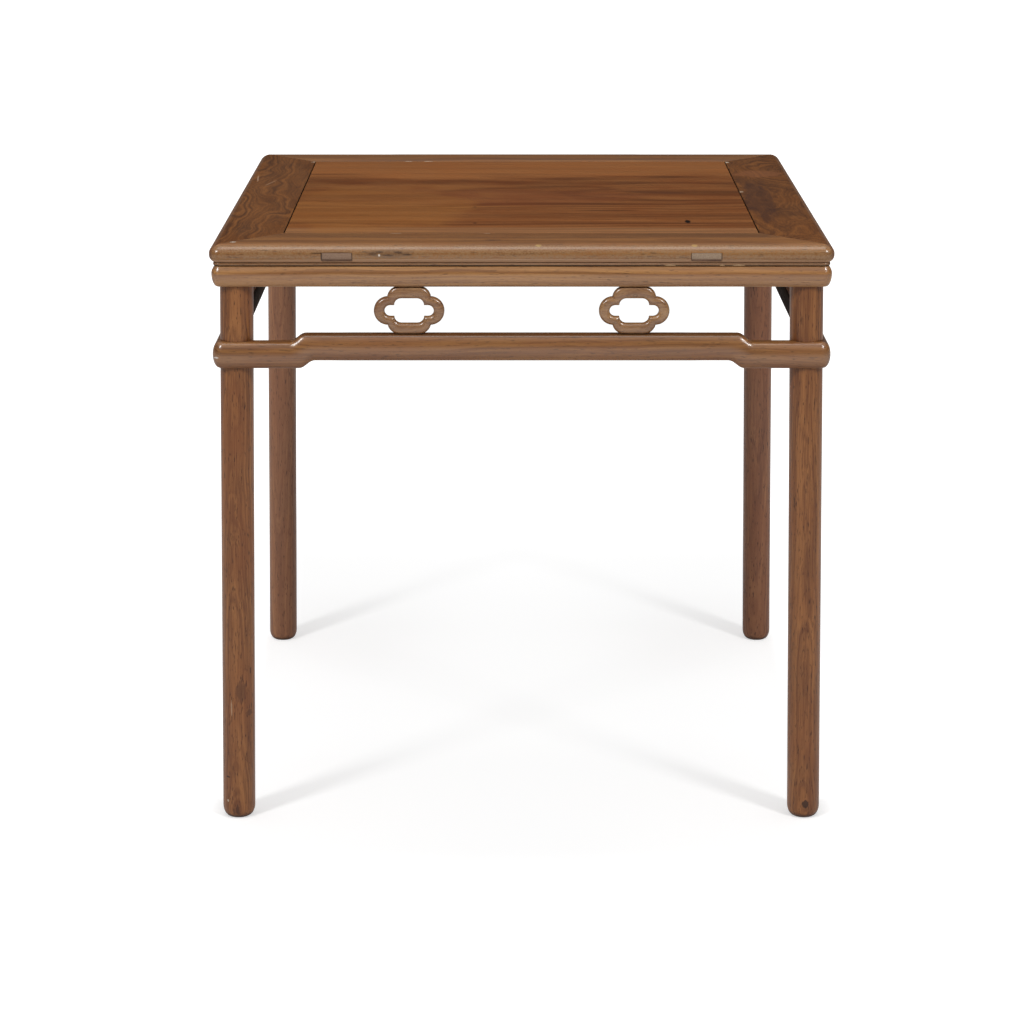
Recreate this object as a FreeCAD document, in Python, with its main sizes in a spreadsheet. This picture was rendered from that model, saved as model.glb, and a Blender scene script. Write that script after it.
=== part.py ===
import FreeCAD, Part
import operator
import os
from math import hypot
from types import SimpleNamespace

import Sketcher

# Square dining table of encircling construction, in millimetres. The origin is on the floor under
# the middle of the top, +Z is up and -Y is the front. Every side piece is modelled at the front
# (outer face towards -Y) and its body is then turned about the Z axis to its own side.

SIZES = [
    # Overall
    ("table_side", 896.0, "width and depth over the top"),
    ("table_height", 875.0, "floor to top surface"),
    ("fit_gap", 0.15, "clearance on each side of a tenon, tongue or lap"),
    # Frame of the top
    ("frame_width", 100.0, "width of a frame member in plan"),
    ("frame_height", 31.0, "depth of the frame edge with its bead"),
    ("frame_corner", 16.0, "plan radius of the top's corners"),
    ("edge_round_upper", 14.0, "upper radius of the bullnose edge"),
    ("edge_round_lower", 10.0, "lower radius of the bullnose edge"),
    ("bead_height", 4.5, "height of the bead under the bullnose"),
    ("bead_inset", 5.6, "bead face behind the bullnose"),
    ("corner_tenon_width", 34.0, "through tenon of the mitred corner"),
    ("corner_tenon_thickness", 10.0, "same, in height"),
    ("corner_tenon_drop", 13.0, "top surface down to the corner tenon"),
    ("corner_tenon_setback", 56.0, "table edge to the corner tenon, in plan"),
    # Floating panel
    ("panel_thickness", 10.0, "board of the top"),
    ("tongue_thickness", 4.5, "tongue round the panel"),
    ("groove_depth", 9.0, "groove in the frame members"),
    ("tongue_side_play", 1.5, "tongue short of the groove, left and right"),
    ("tongue_end_play", 0.5, "tongue short of the groove, front and back"),
    ("field_side_gap", 1.8, "shrinkage gap beside the panel, left and right"),
    ("field_end_gap", 0.25, "gap beside the panel, front and back"),
    # Battens under the panel
    ("batten_setback", 84.0, "frame's inner edge to the middle of an outer batten"),
    ("batten_width", 42.0, "width of a batten and of its tenons"),
    ("batten_height", 23.0, "batten below the panel"),
    ("batten_tenon_thickness", 12.0, "tenon in height"),
    ("batten_tenon_drop", 11.5, "top surface down to the tenon"),
    ("batten_stub_length", 30.0, "blind tenon of the middle batten"),
    ("dovetail_root", 26.0, "dovetail ridge where it leaves the batten"),
    ("dovetail_head", 30.0, "dovetail ridge at its top"),
    ("dovetail_height", 4.0, "dovetail ridge into the panel"),
    # Double-edge moulding
    ("moulding_height", 31.0, "height of the moulding"),
    ("moulding_width", 60.0, "width of the moulding in plan"),
    ("moulding_inset", 2.6, "moulding face behind the table edge"),
    ("moulding_corner", 13.0, "plan radius of the moulding's corners"),
    ("moulding_crown", 3.0, "fall of the crowned face at its edges"),
    ("moulding_crown_reach", 10.0, "height over which the crowned face falls"),
    ("moulding_round", 8.0, "radius of the moulding's lower edge"),
    # Legs
    ("leg_diameter", 48.3, "diameter of the round leg"),
    ("leg_inset", 36.6, "table edge to the leg's axis under the moulding"),
    ("leg_splay", 15.6, "outward lean from there to the floor, along X and along Y"),
    ("foot_chamfer_width", 5.5, "easing of the foot, across"),
    ("foot_chamfer_rise", 8.0, "easing of the foot, upwards"),
    ("leg_tenon_width", 14.0, "square tenons on top of the leg"),
    ("leg_tenon_spacing", 3.0, "leg axis to a tenon, along its rail"),
    ("leg_tenon_outset", 2.0, "leg axis to a tenon, across its rail"),
    ("long_tenon_cover", 11.0, "wood of the frame above the long tenon"),
    ("short_tenon_cover", 19.0, "wood of the frame above the short tenon"),
    # Humpback stretchers
    ("stretcher_inset", 1.1, "stretcher face behind the table edge"),
    ("stretcher_thickness", 34.5, "stretcher in plan"),
    ("stretcher_height", 38.0, "stretcher in elevation"),
    ("stretcher_rise", 11.5, "hump above the ends"),
    ("stretcher_corner", 16.0, "plan radius where two stretchers meet"),
    ("stretcher_crown", 5.0, "fall of the crowned face at its edges"),
    ("stretcher_crown_reach", 12.0, "height over which the crowned face falls"),
    ("bend_setback", 124.4, "table edge to the middle of the upper bend"),
    ("bend_lag", 13.3, "lower bend further in than the upper one"),
    ("bend_run", 15.0, "length over which the hump rises"),
    ("bend_radius", 13.0, "rounding of the bends"),
    ("wrap_thickness", 17.5, "lap of the stretcher outside the leg's notch"),
    ("lap_cover", 0.4, "lap past the round of the leg, inside the crowned face"),
    ("stretcher_tenon_setback", 4.0, "leg's notch to the tenon"),
    ("stretcher_tenon_thickness", 9.0, "tenon in plan"),
    ("stretcher_tenon_height", 20.0, "tenon in elevation"),
    ("stretcher_tenon_web", 3.0, "wood of the leg between two stretcher tenons"),
    # Pierced struts
    ("strut_offset", 162.0, "middle of the side to the middle of a strut"),
    ("strut_setback", 16.5, "table edge to the strut's middle plane"),
    ("strut_thickness", 15.0, "strut in plan"),
    ("strut_height", 70.0, "stretcher to moulding"),
    ("strut_width", 63.6, "upright part of the strut"),
    ("strut_corner", 13.5, "corner radius of the upright part"),
    ("lobe_radius", 20.6, "side lobes"),
    ("lobe_offset", 30.3, "middle of the strut to the lobes' centres"),
    ("opening_width", 42.8, "upright part of the opening"),
    ("opening_height", 36.4, "same, in height"),
    ("opening_corner", 10.0, "corner radius of the opening"),
    ("opening_lobe_radius", 8.2, "side lobes of the opening"),
    ("opening_lobe_offset", 27.2, "middle of the strut to those lobes' centres"),
    # Loose tenons
    ("strut_tenon_width", 16.0, "loose tenon of a strut, along the side"),
    ("strut_tenon_thickness", 6.0, "same, across"),
    ("strut_tenon_depth", 9.0, "same, into each piece"),
    ("moulding_tenon_width", 24.0, "loose tenon of a moulding, along the side"),
    ("moulding_tenon_thickness", 8.0, "same, across"),
    ("moulding_tenon_depth", 10.0, "same, into each piece"),
    ("moulding_tenon_offset", 200.0, "middle of the side to a moulding tenon"),
    ("moulding_tenon_setback", 31.0, "table edge to a moulding tenon's middle"),
]

# Turn about Z, in degrees, that carries a front piece to each side and a front left leg to each corner.
SIDES = {"front": 0, "right": 90, "back": 180, "left": 270}
CORNERS = {"front_left": 0, "front_right": 90, "back_right": 180, "back_left": 270}
BATTENS = {"left": -1, "middle": 0, "right": 1}

OVERCUT = 5.0
TOLERANCE = 0.001
OPERATIONS = {"+": operator.add, "-": operator.sub, "*": operator.mul, "/": operator.truediv}


class Size:
    """A length in millimetres together with the spreadsheet formula that gives it."""

    def __init__(self, value, formula):
        self.value = value
        self.formula = formula

    def __add__(self, other):
        return combine(self, "+", other)

    def __sub__(self, other):
        return combine(self, "-", other)

    def __mul__(self, other):
        return combine(self, "*", other)

    def __truediv__(self, other):
        return combine(self, "/", other)

    def __neg__(self):
        return combine(-1, "*", self)


def combine(left, sign, right):
    left, right = (side if isinstance(side, Size) else Size(side, str(side)) for side in (left, right))
    value = OPERATIONS[sign](left.value, right.value)
    return Size(value, f"({left.formula} {sign} {right.formula})")


def between(first, second):
    """Two sizes as a (low, high) pair."""
    return (first, second) if first.value < second.value else (second, first)


def widened(pair, gap):
    return (pair[0] - gap, pair[1] + gap)


def around(middle, length):
    return (middle - length / 2, middle + length / 2)


def turned(x, y, turn):
    """Plan position of the front side carried round to the side at that turn."""
    for _ in range(turn // 90):
        x, y = -y, x
    return x, y


# ---------------------------------------------------------------- document and driving sizes

doc = FreeCAD.newDocument("square_table")
sheet = doc.addObject("Spreadsheet::Sheet", "Sizes")
size = SimpleNamespace()
for row, (alias, value, note) in enumerate(SIZES, start=1):
    sheet.set(f"A{row}", note)
    sheet.set(f"B{row}", str(value))
    sheet.setAlias(f"B{row}", alias)
    setattr(size, alias, Size(value, f"Sizes.{alias}"))
doc.recompute()

gap = size.fit_gap
zero = Size(0, "0")
half = size.table_side / 2
top = size.table_height
frame_inner = half - size.frame_width
frame_bottom = top - size.frame_height
bulge_bottom = frame_bottom + size.bead_height
moulding_bottom = frame_bottom - size.moulding_height
hump_top = moulding_bottom - size.strut_height
hump_bottom = hump_top - size.stretcher_height
end_top = hump_top - size.stretcher_rise
end_bottom = hump_bottom - size.stretcher_rise

# Floating panel: its underside carries on the battens, its tongue lies in the frame's groove.
panel_bottom = top - size.panel_thickness
tongue = (panel_bottom, panel_bottom + size.tongue_thickness)
groove_end = frame_inner + size.groove_depth

# Through tenons of the corners and tenons of the battens.
corner_tenon_top = top - size.corner_tenon_drop
corner_tenon = (corner_tenon_top - size.corner_tenon_thickness, corner_tenon_top)
corner_tenon_outer = half - size.corner_tenon_setback
corner_tenon_inner = corner_tenon_outer - size.corner_tenon_width
batten_tenon_top = top - size.batten_tenon_drop
batten_tenon = (batten_tenon_top - size.batten_tenon_thickness, batten_tenon_top)
batten_stub_end = frame_inner + size.batten_stub_length
batten_spacing = frame_inner - size.batten_setback

# Legs: axis under the moulding, axis at the floor, and the two tenons on top.
leg_radius = size.leg_diameter / 2
leg_axis = half - size.leg_inset
foot_axis = leg_axis + size.leg_splay
leg_tenon_end = leg_axis - size.leg_tenon_spacing
leg_tenon_along = (leg_tenon_end - size.leg_tenon_width, leg_tenon_end)
leg_tenon_face = leg_axis + size.leg_tenon_outset
leg_tenon_across = (leg_tenon_face, leg_tenon_face + size.leg_tenon_width)
long_tenon_top = top - size.long_tenon_cover
short_tenon_top = top - size.short_tenon_cover

# Stretchers: outer and inner face, notch plane in the leg, and the tenon into the leg.
stretcher_outer = half - size.stretcher_inset
stretcher_inner = stretcher_outer - size.stretcher_thickness
wrap_plane = stretcher_outer - size.wrap_thickness
stretcher_tenon_outer = wrap_plane - size.stretcher_tenon_setback
stretcher_tenon_across = (stretcher_tenon_outer - size.stretcher_tenon_thickness, stretcher_tenon_outer)
stretcher_tenon_tip = stretcher_tenon_across[0] - size.stretcher_tenon_web
stretcher_tenon_root = leg_axis - leg_radius
stretcher_tenon_rise = around((end_top + end_bottom) / 2, size.stretcher_tenon_height)
leg_axis_at_lap = leg_axis + size.leg_splay * (moulding_bottom - end_bottom) / moulding_bottom
lap_reach = leg_axis_at_lap + leg_radius + gap + size.lap_cover

strut_plane = half - size.strut_setback
moulding_outer = half - size.moulding_inset
moulding_inner = moulding_outer - size.moulding_width
moulding_tenon_plane = half - size.moulding_tenon_setback


# ---------------------------------------------------------------- modelling helpers

def bind(feature, **sizes):
    for name, value in sizes.items():
        feature.setExpression(name, value.formula)


def place(feature, x, y, z):
    for axis, value in (("x", x), ("y", y), ("z", z)):
        feature.setExpression(f"Placement.Base.{axis}", value.formula)


def new_body(name, turn=0):
    body = doc.addObject("PartDesign::Body", name)
    body.Label = name
    body.Placement = FreeCAD.Placement(FreeCAD.Vector(), FreeCAD.Rotation(FreeCAD.Vector(0, 0, 1), turn))
    doc.recompute()
    return body


def block(body, name, x, y, z, cut=False):
    """A box between pairs of coordinates, added to the body or cut from it."""
    kind = "PartDesign::SubtractiveBox" if cut else "PartDesign::AdditiveBox"
    box = body.newObject(kind, name)
    bind(box, Length=x[1] - x[0], Width=y[1] - y[0], Height=z[1] - z[0])
    place(box, x[0], y[0], z[0])
    return box


def sketch_polygons(body, name, plane, polygons, offset):
    """Closed polygons on an origin plane, each corner dimensioned from the origin."""
    doc.recompute()
    sketch = body.newObject("Sketcher::SketchObject", name)
    support = [item for item in body.Origin.OriginFeatures if item.Role == plane][0]
    sketch.AttachmentSupport = (support, [""])
    sketch.MapMode = "FlatFace"
    sketch.setExpression("AttachmentOffset.Base.z", offset.formula)
    for corners in polygons:
        first = sketch.GeometryCount
        points = [FreeCAD.Vector(x.value, y.value, 0) for x, y in corners]
        for start, end in zip(points, points[1:] + points[:1]):
            sketch.addGeometry(Part.LineSegment(start, end))
        for index, (x, y) in enumerate(corners):
            following = first + (index + 1) % len(corners)
            sketch.addConstraint(Sketcher.Constraint("Coincident", first + index, 2, following, 1))
            for kind, distance in (("DistanceX", x), ("DistanceY", y)):
                dimension = Sketcher.Constraint(kind, -1, 1, first + index, 1, distance.value)
                number = sketch.addConstraint(dimension)
                sketch.setExpression(f"Constraints[{number}]", distance.formula)
    return sketch


def extrude(body, kind, name, sketch, length):
    """A Pad along the sketch's normal, or a Pocket against it."""
    feature = body.newObject(kind, name)
    feature.Profile = sketch
    bind(feature, Length=length)
    return feature


def dress(body, kind, name, test, **sizes):
    """A Fillet or Chamfer on the edges of the body's last feature that pass the test."""
    doc.recompute()
    base = body.Tip
    edges = [f"Edge{number}" for number, edge in enumerate(base.Shape.Edges, start=1) if test(edge)]
    feature = body.newObject(kind, name)
    feature.Base = (base, edges)
    bind(feature, **sizes)
    return feature


def samples(edge):
    middle = edge.valueAt((edge.FirstParameter + edge.LastParameter) / 2)
    return [vertex.Point for vertex in edge.Vertexes] + [middle]


def is_along(edge, axis):
    """True for a straight edge along x, y or z."""
    points = samples(edge)
    first = points[0]
    others = [name for name in "xyz" if name != axis]
    return all(
        abs(getattr(point, name) - getattr(first, name)) < TOLERANCE
        for point in points
        for name in others
    )


def on_outline(point, reach, radius):
    """True where a point stands over the plan outline, a square with rounded corners."""
    past_x = abs(point.x) - (reach.value - radius.value)
    past_y = -point.y - (reach.value - radius.value)
    if past_x > 0 and past_y > 0:
        distance = hypot(past_x, past_y) - radius.value
    else:
        distance = max(past_x, past_y) - radius.value
    return abs(distance) < TOLERANCE


def round_corners(body, reach, radius, levels):
    """Rounds the two outer vertical corners between the given levels."""
    def is_corner(edge):
        return is_along(edge, "z") and all(
            abs(abs(point.x) - reach.value) < TOLERANCE
            and abs(point.y + reach.value) < TOLERANCE
            and levels[0].value - TOLERANCE < point.z < levels[1].value + TOLERANCE
            for point in samples(edge)
        )
    dress(body, "PartDesign::Fillet", "plan_corners", is_corner, Radius=radius)


def rim_test(reach, radius, low, high):
    """Test for edges that run along the plan outline between two levels."""
    def is_rim(edge):
        return not is_along(edge, "z") and all(
            on_outline(point, reach, radius) and low.value - TOLERANCE < point.z < high.value + TOLERANCE
            for point in samples(edge)
        )
    return is_rim


def crown(body, reach, radius, upper, lower, fall, fall_reach, flips):
    """Bevels the outer face above and below, which leaves it crowned.

    upper and lower are (low, high) pairs of levels that hold the upper and the lower rim, and
    flips says for each which way round the two distances lie on the blank's edges.
    """
    for name, levels, flip in zip(("crown_upper", "crown_lower"), (upper, lower), flips):
        chamfer = dress(
            body, "PartDesign::Chamfer", name, rim_test(reach, radius, *levels), Size=fall, Size2=fall_reach
        )
        chamfer.ChamferType = "Two distances"
        chamfer.FlipDirection = flip


def both_ends(polygon):
    """A plan polygon of the left end and its mirror image at the right end."""
    return [polygon, [(-x, y) for x, y in reversed(polygon)]]


def cut_plan(body, name, polygon, levels):
    """Cuts a plan polygon of the left end, and its mirror image, between two levels."""
    sketch = sketch_polygons(body, name + "_outline", "XY_Plane", both_ends(polygon), levels[1])
    extrude(body, "PartDesign::Pocket", name, sketch, levels[1] - levels[0])


def mitre(body, reach, inner, levels):
    """Cuts both ends at 45 degrees from the outer corner to past the inner one."""
    outside = -reach - OVERCUT
    inside = -inner + OVERCUT
    cut_plan(body, "mitre", [(outside, outside), (inside, inside), (outside, inside)], levels)


def mortise(body, name, middle_x, middle_y, width, thickness, levels):
    """A blind mortise for a loose tenon, open at one of its levels."""
    block(
        body,
        name,
        widened(around(middle_x, width), gap),
        widened(around(middle_y, thickness), gap),
        levels,
        cut=True,
    )


# ---------------------------------------------------------------- frame of the top

def frame_rail(name, turn, with_tenons):
    """A frame member with bullnose edge, bead, panel groove and mitred ends.

    The members along X end in through tenons, and those along Y have the mortises for them.
    """
    body = new_body(name, turn)
    block(body, "blank", (-half, half), (-half, -frame_inner), (bulge_bottom, top))
    round_corners(body, half, size.frame_corner, (bulge_bottom, top))
    upper_rim = rim_test(half, size.frame_corner, top, top)
    dress(body, "PartDesign::Fillet", "edge_upper", upper_rim, Radius=size.edge_round_upper)
    lower_rim = rim_test(half, size.frame_corner, bulge_bottom, bulge_bottom)
    dress(body, "PartDesign::Fillet", "edge_lower", lower_rim, Radius=size.edge_round_lower)

    bead_reach = half - size.bead_inset
    bead_levels = (frame_bottom, bulge_bottom)
    block(body, "bead", (-bead_reach, bead_reach), (-bead_reach, -frame_inner), bead_levels)
    round_corners(body, bead_reach, size.frame_corner - size.bead_inset, bead_levels)
    groove_y = (-groove_end, -frame_inner + OVERCUT)
    block(body, "panel_groove", (-groove_end, groove_end), groove_y, widened(tongue, gap), cut=True)

    if with_tenons:
        mitre(body, half, frame_inner, (corner_tenon[1], top + OVERCUT))
        mitre(body, half, frame_inner, (frame_bottom - OVERCUT, corner_tenon[0]))
        corner_tenon_cheeks(body)
        for side in (-1, 0, 1):
            batten_end = half + OVERCUT if side else batten_stub_end + gap
            mortise_y = (-batten_end, -frame_inner + OVERCUT)
            mortise_x = widened(around(batten_spacing * side, size.batten_width), gap)
            block(body, "batten_mortise", mortise_x, mortise_y, widened(batten_tenon, gap), cut=True)
    else:
        mitre(body, half, frame_inner, (frame_bottom - OVERCUT, top + OVERCUT))
        for side in (-1, 1):
            mortise_x = widened(between(corner_tenon_inner * side, corner_tenon_outer * side), gap)
            mortise_y = (-half - OVERCUT, -frame_inner + OVERCUT)
            block(body, "corner_mortise", mortise_x, mortise_y, widened(corner_tenon, gap), cut=True)

    leg_tenon_top = long_tenon_top if with_tenons else short_tenon_top
    leg_tenon_holes(body, (frame_bottom - OVERCUT, leg_tenon_top + gap))
    for side in (-1, 1):
        mortise(
            body,
            "moulding_tenon_mortise",
            size.moulding_tenon_offset * side,
            -moulding_tenon_plane,
            size.moulding_tenon_width,
            size.moulding_tenon_thickness,
            (frame_bottom - OVERCUT, frame_bottom + size.moulding_tenon_depth + gap),
        )
    return body


def corner_tenon_cheeks(body):
    """Cuts the mitre in front of and behind the corner tenon, at the tenon's own level."""
    outside = -half - OVERCUT
    inside = -frame_inner + OVERCUT
    front = -corner_tenon_outer
    back = -corner_tenon_inner
    cut_plan(body, "front_cheek", [(outside, outside), (front, front), (outside, front)], corner_tenon)
    behind = [(outside, back), (back, back), (inside, inside), (outside, inside)]
    cut_plan(body, "back_cheek", behind, corner_tenon)


def leg_tenon_holes(body, levels):
    """Holes for the leg tenons that enter the two ends of a side piece from below."""
    for side in (-1, 1):
        hole_x = widened(between(leg_tenon_along[0] * side, leg_tenon_along[1] * side), gap)
        hole_y = widened((-leg_tenon_across[1], -leg_tenon_across[0]), gap)
        block(body, "leg_tenon_hole", hole_x, hole_y, levels, cut=True)


# ---------------------------------------------------------------- panel and battens

def dovetail(middle, allowance):
    """Elevation of the dovetail ridge of a batten, wider by the allowance for its housing."""
    root = size.dovetail_root / 2 + allowance
    head = size.dovetail_head / 2 + allowance
    ridge_top = panel_bottom + size.dovetail_height + allowance
    return [
        (middle - root, panel_bottom),
        (middle + root, panel_bottom),
        (middle + head, ridge_top),
        (middle - head, ridge_top),
    ]


def top_panel():
    body = new_body("top_panel")
    field_x = frame_inner - size.field_side_gap
    field_y = frame_inner - size.field_end_gap
    tongue_x = groove_end - size.tongue_side_play
    tongue_y = groove_end - size.tongue_end_play
    block(body, "field", (-field_x, field_x), (-field_y, field_y), (panel_bottom, top))
    block(body, "tongue", (-tongue_x, tongue_x), (-tongue_y, tongue_y), tongue)
    housings = [dovetail(batten_spacing * side, gap) for side in BATTENS.values()]
    sketch = sketch_polygons(body, "housing_outlines", "XZ_Plane", housings, tongue_y)
    extrude(body, "PartDesign::Pocket", "housings", sketch, tongue_y * 2)
    return body


def batten(name, side):
    """A batten that slides into the panel's housing.

    The outer ones go through the frame, and their ends are shaped with the bullnose edge.
    """
    body = new_body(name)
    middle = batten_spacing * side
    width = around(middle, size.batten_width)
    if side:
        block(body, "tenon_blank", width, (-half, half), (bulge_bottom, top))
        for feature, level, radius in (
            ("end_upper", top, size.edge_round_upper),
            ("end_lower", bulge_bottom, size.edge_round_lower),
        ):
            def is_end(edge, level=level):
                return is_along(edge, "x") and all(
                    abs(point.z - level.value) < TOLERANCE and abs(abs(point.y) - half.value) < TOLERANCE
                    for point in samples(edge)
                )
            dress(body, "PartDesign::Fillet", feature, is_end, Radius=radius)
        length = (-half - OVERCUT, half + OVERCUT)
        sides = (width[0] - OVERCUT, width[1] + OVERCUT)
        block(body, "tenon_top", sides, length, (batten_tenon[1], top + OVERCUT), cut=True)
        block(body, "tenon_bottom", sides, length, (bulge_bottom - OVERCUT, batten_tenon[0]), cut=True)
    else:
        block(body, "stub_tenons", width, (-batten_stub_end, batten_stub_end), batten_tenon)
    bar_levels = (panel_bottom - size.batten_height, panel_bottom)
    block(body, "bar", width, (-frame_inner, frame_inner), bar_levels)
    sketch = sketch_polygons(body, "ridge_outline", "XZ_Plane", [dovetail(middle, zero)], -frame_inner)
    extrude(body, "PartDesign::Pad", "ridge", sketch, frame_inner * 2)
    return body


# ---------------------------------------------------------------- moulding

def moulding(name, turn):
    """A crowned moulding under the frame, rounded below and mitred at both ends."""
    body = new_body(name, turn)
    block(
        body,
        "blank",
        (-moulding_outer, moulding_outer),
        (-moulding_outer, -moulding_inner),
        (moulding_bottom, frame_bottom),
    )
    round_corners(body, moulding_outer, size.moulding_corner, (moulding_bottom, frame_bottom))
    crown(
        body,
        moulding_outer,
        size.moulding_corner,
        (frame_bottom, frame_bottom),
        (moulding_bottom, moulding_bottom),
        size.moulding_crown,
        size.moulding_crown_reach,
        flips=(True, True),
    )
    lower_rim = rim_test(
        moulding_outer - size.moulding_crown,
        size.moulding_corner - size.moulding_crown,
        moulding_bottom,
        moulding_bottom,
    )
    dress(body, "PartDesign::Fillet", "edge_lower", lower_rim, Radius=size.moulding_round)
    levels = (moulding_bottom - OVERCUT, frame_bottom + OVERCUT)
    mitre(body, moulding_outer, moulding_inner, levels)
    leg_tenon_holes(body, levels)
    for side in (-1, 1):
        mortise(
            body,
            "moulding_tenon_mortise",
            size.moulding_tenon_offset * side,
            -moulding_tenon_plane,
            size.moulding_tenon_width,
            size.moulding_tenon_thickness,
            (frame_bottom - size.moulding_tenon_depth - gap, frame_bottom + OVERCUT),
        )
        mortise(
            body,
            "strut_mortise",
            size.strut_offset * side,
            -strut_plane,
            size.strut_tenon_width,
            size.strut_tenon_thickness,
            (moulding_bottom - OVERCUT, moulding_bottom + size.strut_tenon_depth + gap),
        )
    return body


# ---------------------------------------------------------------- legs

def leg_cylinder(body, name, side, radius, cut=False):
    """The round shaft of the leg at local -X (side -1) or +X (side 1), leaning outwards to the floor.

    It starts below the floor, where the tilted end face is wholly under the foot's flat.
    """
    kind = "PartDesign::SubtractiveCylinder" if cut else "PartDesign::AdditiveCylinder"
    shaft = body.newObject(kind, name)
    slope = size.leg_splay / moulding_bottom
    below = radius * slope * 2
    start = foot_axis + below * slope
    shaft.Placement = FreeCAD.Placement(
        FreeCAD.Vector(), FreeCAD.Rotation(FreeCAD.Vector(-1, -side, 0), 1)
    )
    shaft.setExpression("Placement.Rotation.Angle", f"atan({slope.formula} * sqrt(2))")
    bind(shaft, Radius=radius, Height=moulding_bottom + radius * 2)
    place(shaft, start * side, -start, -below)
    return shaft


def leg(name, turn, long_first):
    """A round leg with a notched band for the stretchers and two tenons on top."""
    body = new_body(name, turn)
    leg_cylinder(body, "shaft", -1, leg_radius)

    def is_foot(edge):
        return all(point.z < size.foot_chamfer_rise.value for point in samples(edge)) and edge.Closed
    foot = dress(
        body,
        "PartDesign::Chamfer",
        "foot",
        is_foot,
        Size=size.foot_chamfer_width,
        Size2=size.foot_chamfer_rise,
    )
    foot.ChamferType = "Two distances"
    around_leg = (-foot_axis - size.leg_diameter, -leg_axis + size.leg_diameter)
    block(body, "floor_cut", around_leg, around_leg, (-leg_radius, zero), cut=True)
    head = (moulding_bottom, moulding_bottom + size.leg_diameter * 2)
    block(body, "head_cut", around_leg, around_leg, head, cut=True)

    beyond = (around_leg[0], -wrap_plane)
    band = widened((end_bottom, end_top), gap)
    block(body, "notch_left", beyond, around_leg, band, cut=True)
    block(body, "notch_front", around_leg, beyond, band, cut=True)
    hole_across = widened((-stretcher_tenon_across[1], -stretcher_tenon_across[0]), gap)
    hole_along = (-stretcher_tenon_tip - gap, -leg_axis + size.leg_diameter)
    hole_rise = widened(stretcher_tenon_rise, gap)
    block(body, "front_stretcher_mortise", hole_along, hole_across, hole_rise, cut=True)
    block(body, "left_stretcher_mortise", hole_across, hole_along, hole_rise, cut=True)

    along = (-leg_tenon_along[1], -leg_tenon_along[0])
    across = (-leg_tenon_across[1], -leg_tenon_across[0])
    front_top, left_top = (
        (long_tenon_top, short_tenon_top) if long_first else (short_tenon_top, long_tenon_top)
    )
    block(body, "front_rail_tenon", along, across, (moulding_bottom, front_top))
    block(body, "left_rail_tenon", across, along, (moulding_bottom, left_top))
    return body


# ---------------------------------------------------------------- stretchers

def humpback_outline():
    """Elevation of a stretcher: low ends and a raised middle, with sloping bends between them."""
    upper = half - size.bend_setback
    lower = upper - size.bend_lag
    run = size.bend_run / 2
    right_upper = [(stretcher_outer, end_top), (upper + run, end_top), (upper - run, hump_top)]
    right_lower = [(lower - run, hump_bottom), (lower + run, end_bottom), (stretcher_outer, end_bottom)]
    left_upper = [(-x, level) for x, level in reversed(right_upper)]
    left_lower = [(-x, level) for x, level in reversed(right_lower)]
    return right_upper + left_upper + left_lower + right_lower


def stretcher(name, turn):
    """A humpback stretcher that wraps round the legs.

    Its crowned bar is coped to the round legs, laps over their notches, mitres with its
    neighbours outside them and carries a tenon into each leg.
    """
    body = new_body(name, turn)
    sketch = sketch_polygons(body, "elevation", "XZ_Plane", [humpback_outline()], stretcher_inner)
    extrude(body, "PartDesign::Pad", "bar", sketch, size.stretcher_thickness)

    def is_bend(edge):
        return is_along(edge, "y") and all(
            abs(point.x) < stretcher_outer.value - TOLERANCE for point in samples(edge)
        )
    dress(body, "PartDesign::Fillet", "bends", is_bend, Radius=size.bend_radius)
    round_corners(body, stretcher_outer, size.stretcher_corner, (end_bottom, end_top))
    crown(
        body,
        stretcher_outer,
        size.stretcher_corner,
        (end_top, hump_top),
        (end_bottom, hump_bottom),
        size.stretcher_crown,
        size.stretcher_crown_reach,
        flips=(False, True),
    )

    for side in (-1, 1):
        leg_cylinder(body, "cope", side, leg_radius + gap, cut=True)
        lap_x = between(lap_reach * side, stretcher_tenon_root * side)
        lap_y = (-lap_reach, -wrap_plane - gap)
        block(body, "lap", lap_x, lap_y, (end_bottom, end_top))
    levels = (end_bottom - OVERCUT, hump_top + OVERCUT)
    mitre(body, stretcher_outer, stretcher_tenon_root, levels)
    for side in (-1, 1):
        tenon_x = between(stretcher_tenon_tip * side, (stretcher_tenon_root - OVERCUT) * side)
        tenon_y = (-stretcher_tenon_across[1], -stretcher_tenon_across[0])
        block(body, "tenon", tenon_x, tenon_y, stretcher_tenon_rise)
        mortise(
            body,
            "strut_mortise",
            size.strut_offset * side,
            -strut_plane,
            size.strut_tenon_width,
            size.strut_tenon_thickness,
            (hump_top - size.strut_tenon_depth - gap, hump_top + OVERCUT),
        )
    return body


# ---------------------------------------------------------------- struts

def disc(body, name, x, z, radius, y, cut=False):
    """A round plate across the strut, added or cut, between two planes along Y."""
    kind = "PartDesign::SubtractiveCylinder" if cut else "PartDesign::AdditiveCylinder"
    cylinder = body.newObject(kind, name)
    cylinder.Placement = FreeCAD.Placement(
        FreeCAD.Vector(), FreeCAD.Rotation(FreeCAD.Vector(1, 0, 0), 90)
    )
    bind(cylinder, Radius=radius, Height=y[1] - y[0])
    place(cylinder, x, y[1], z)
    return cylinder


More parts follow.
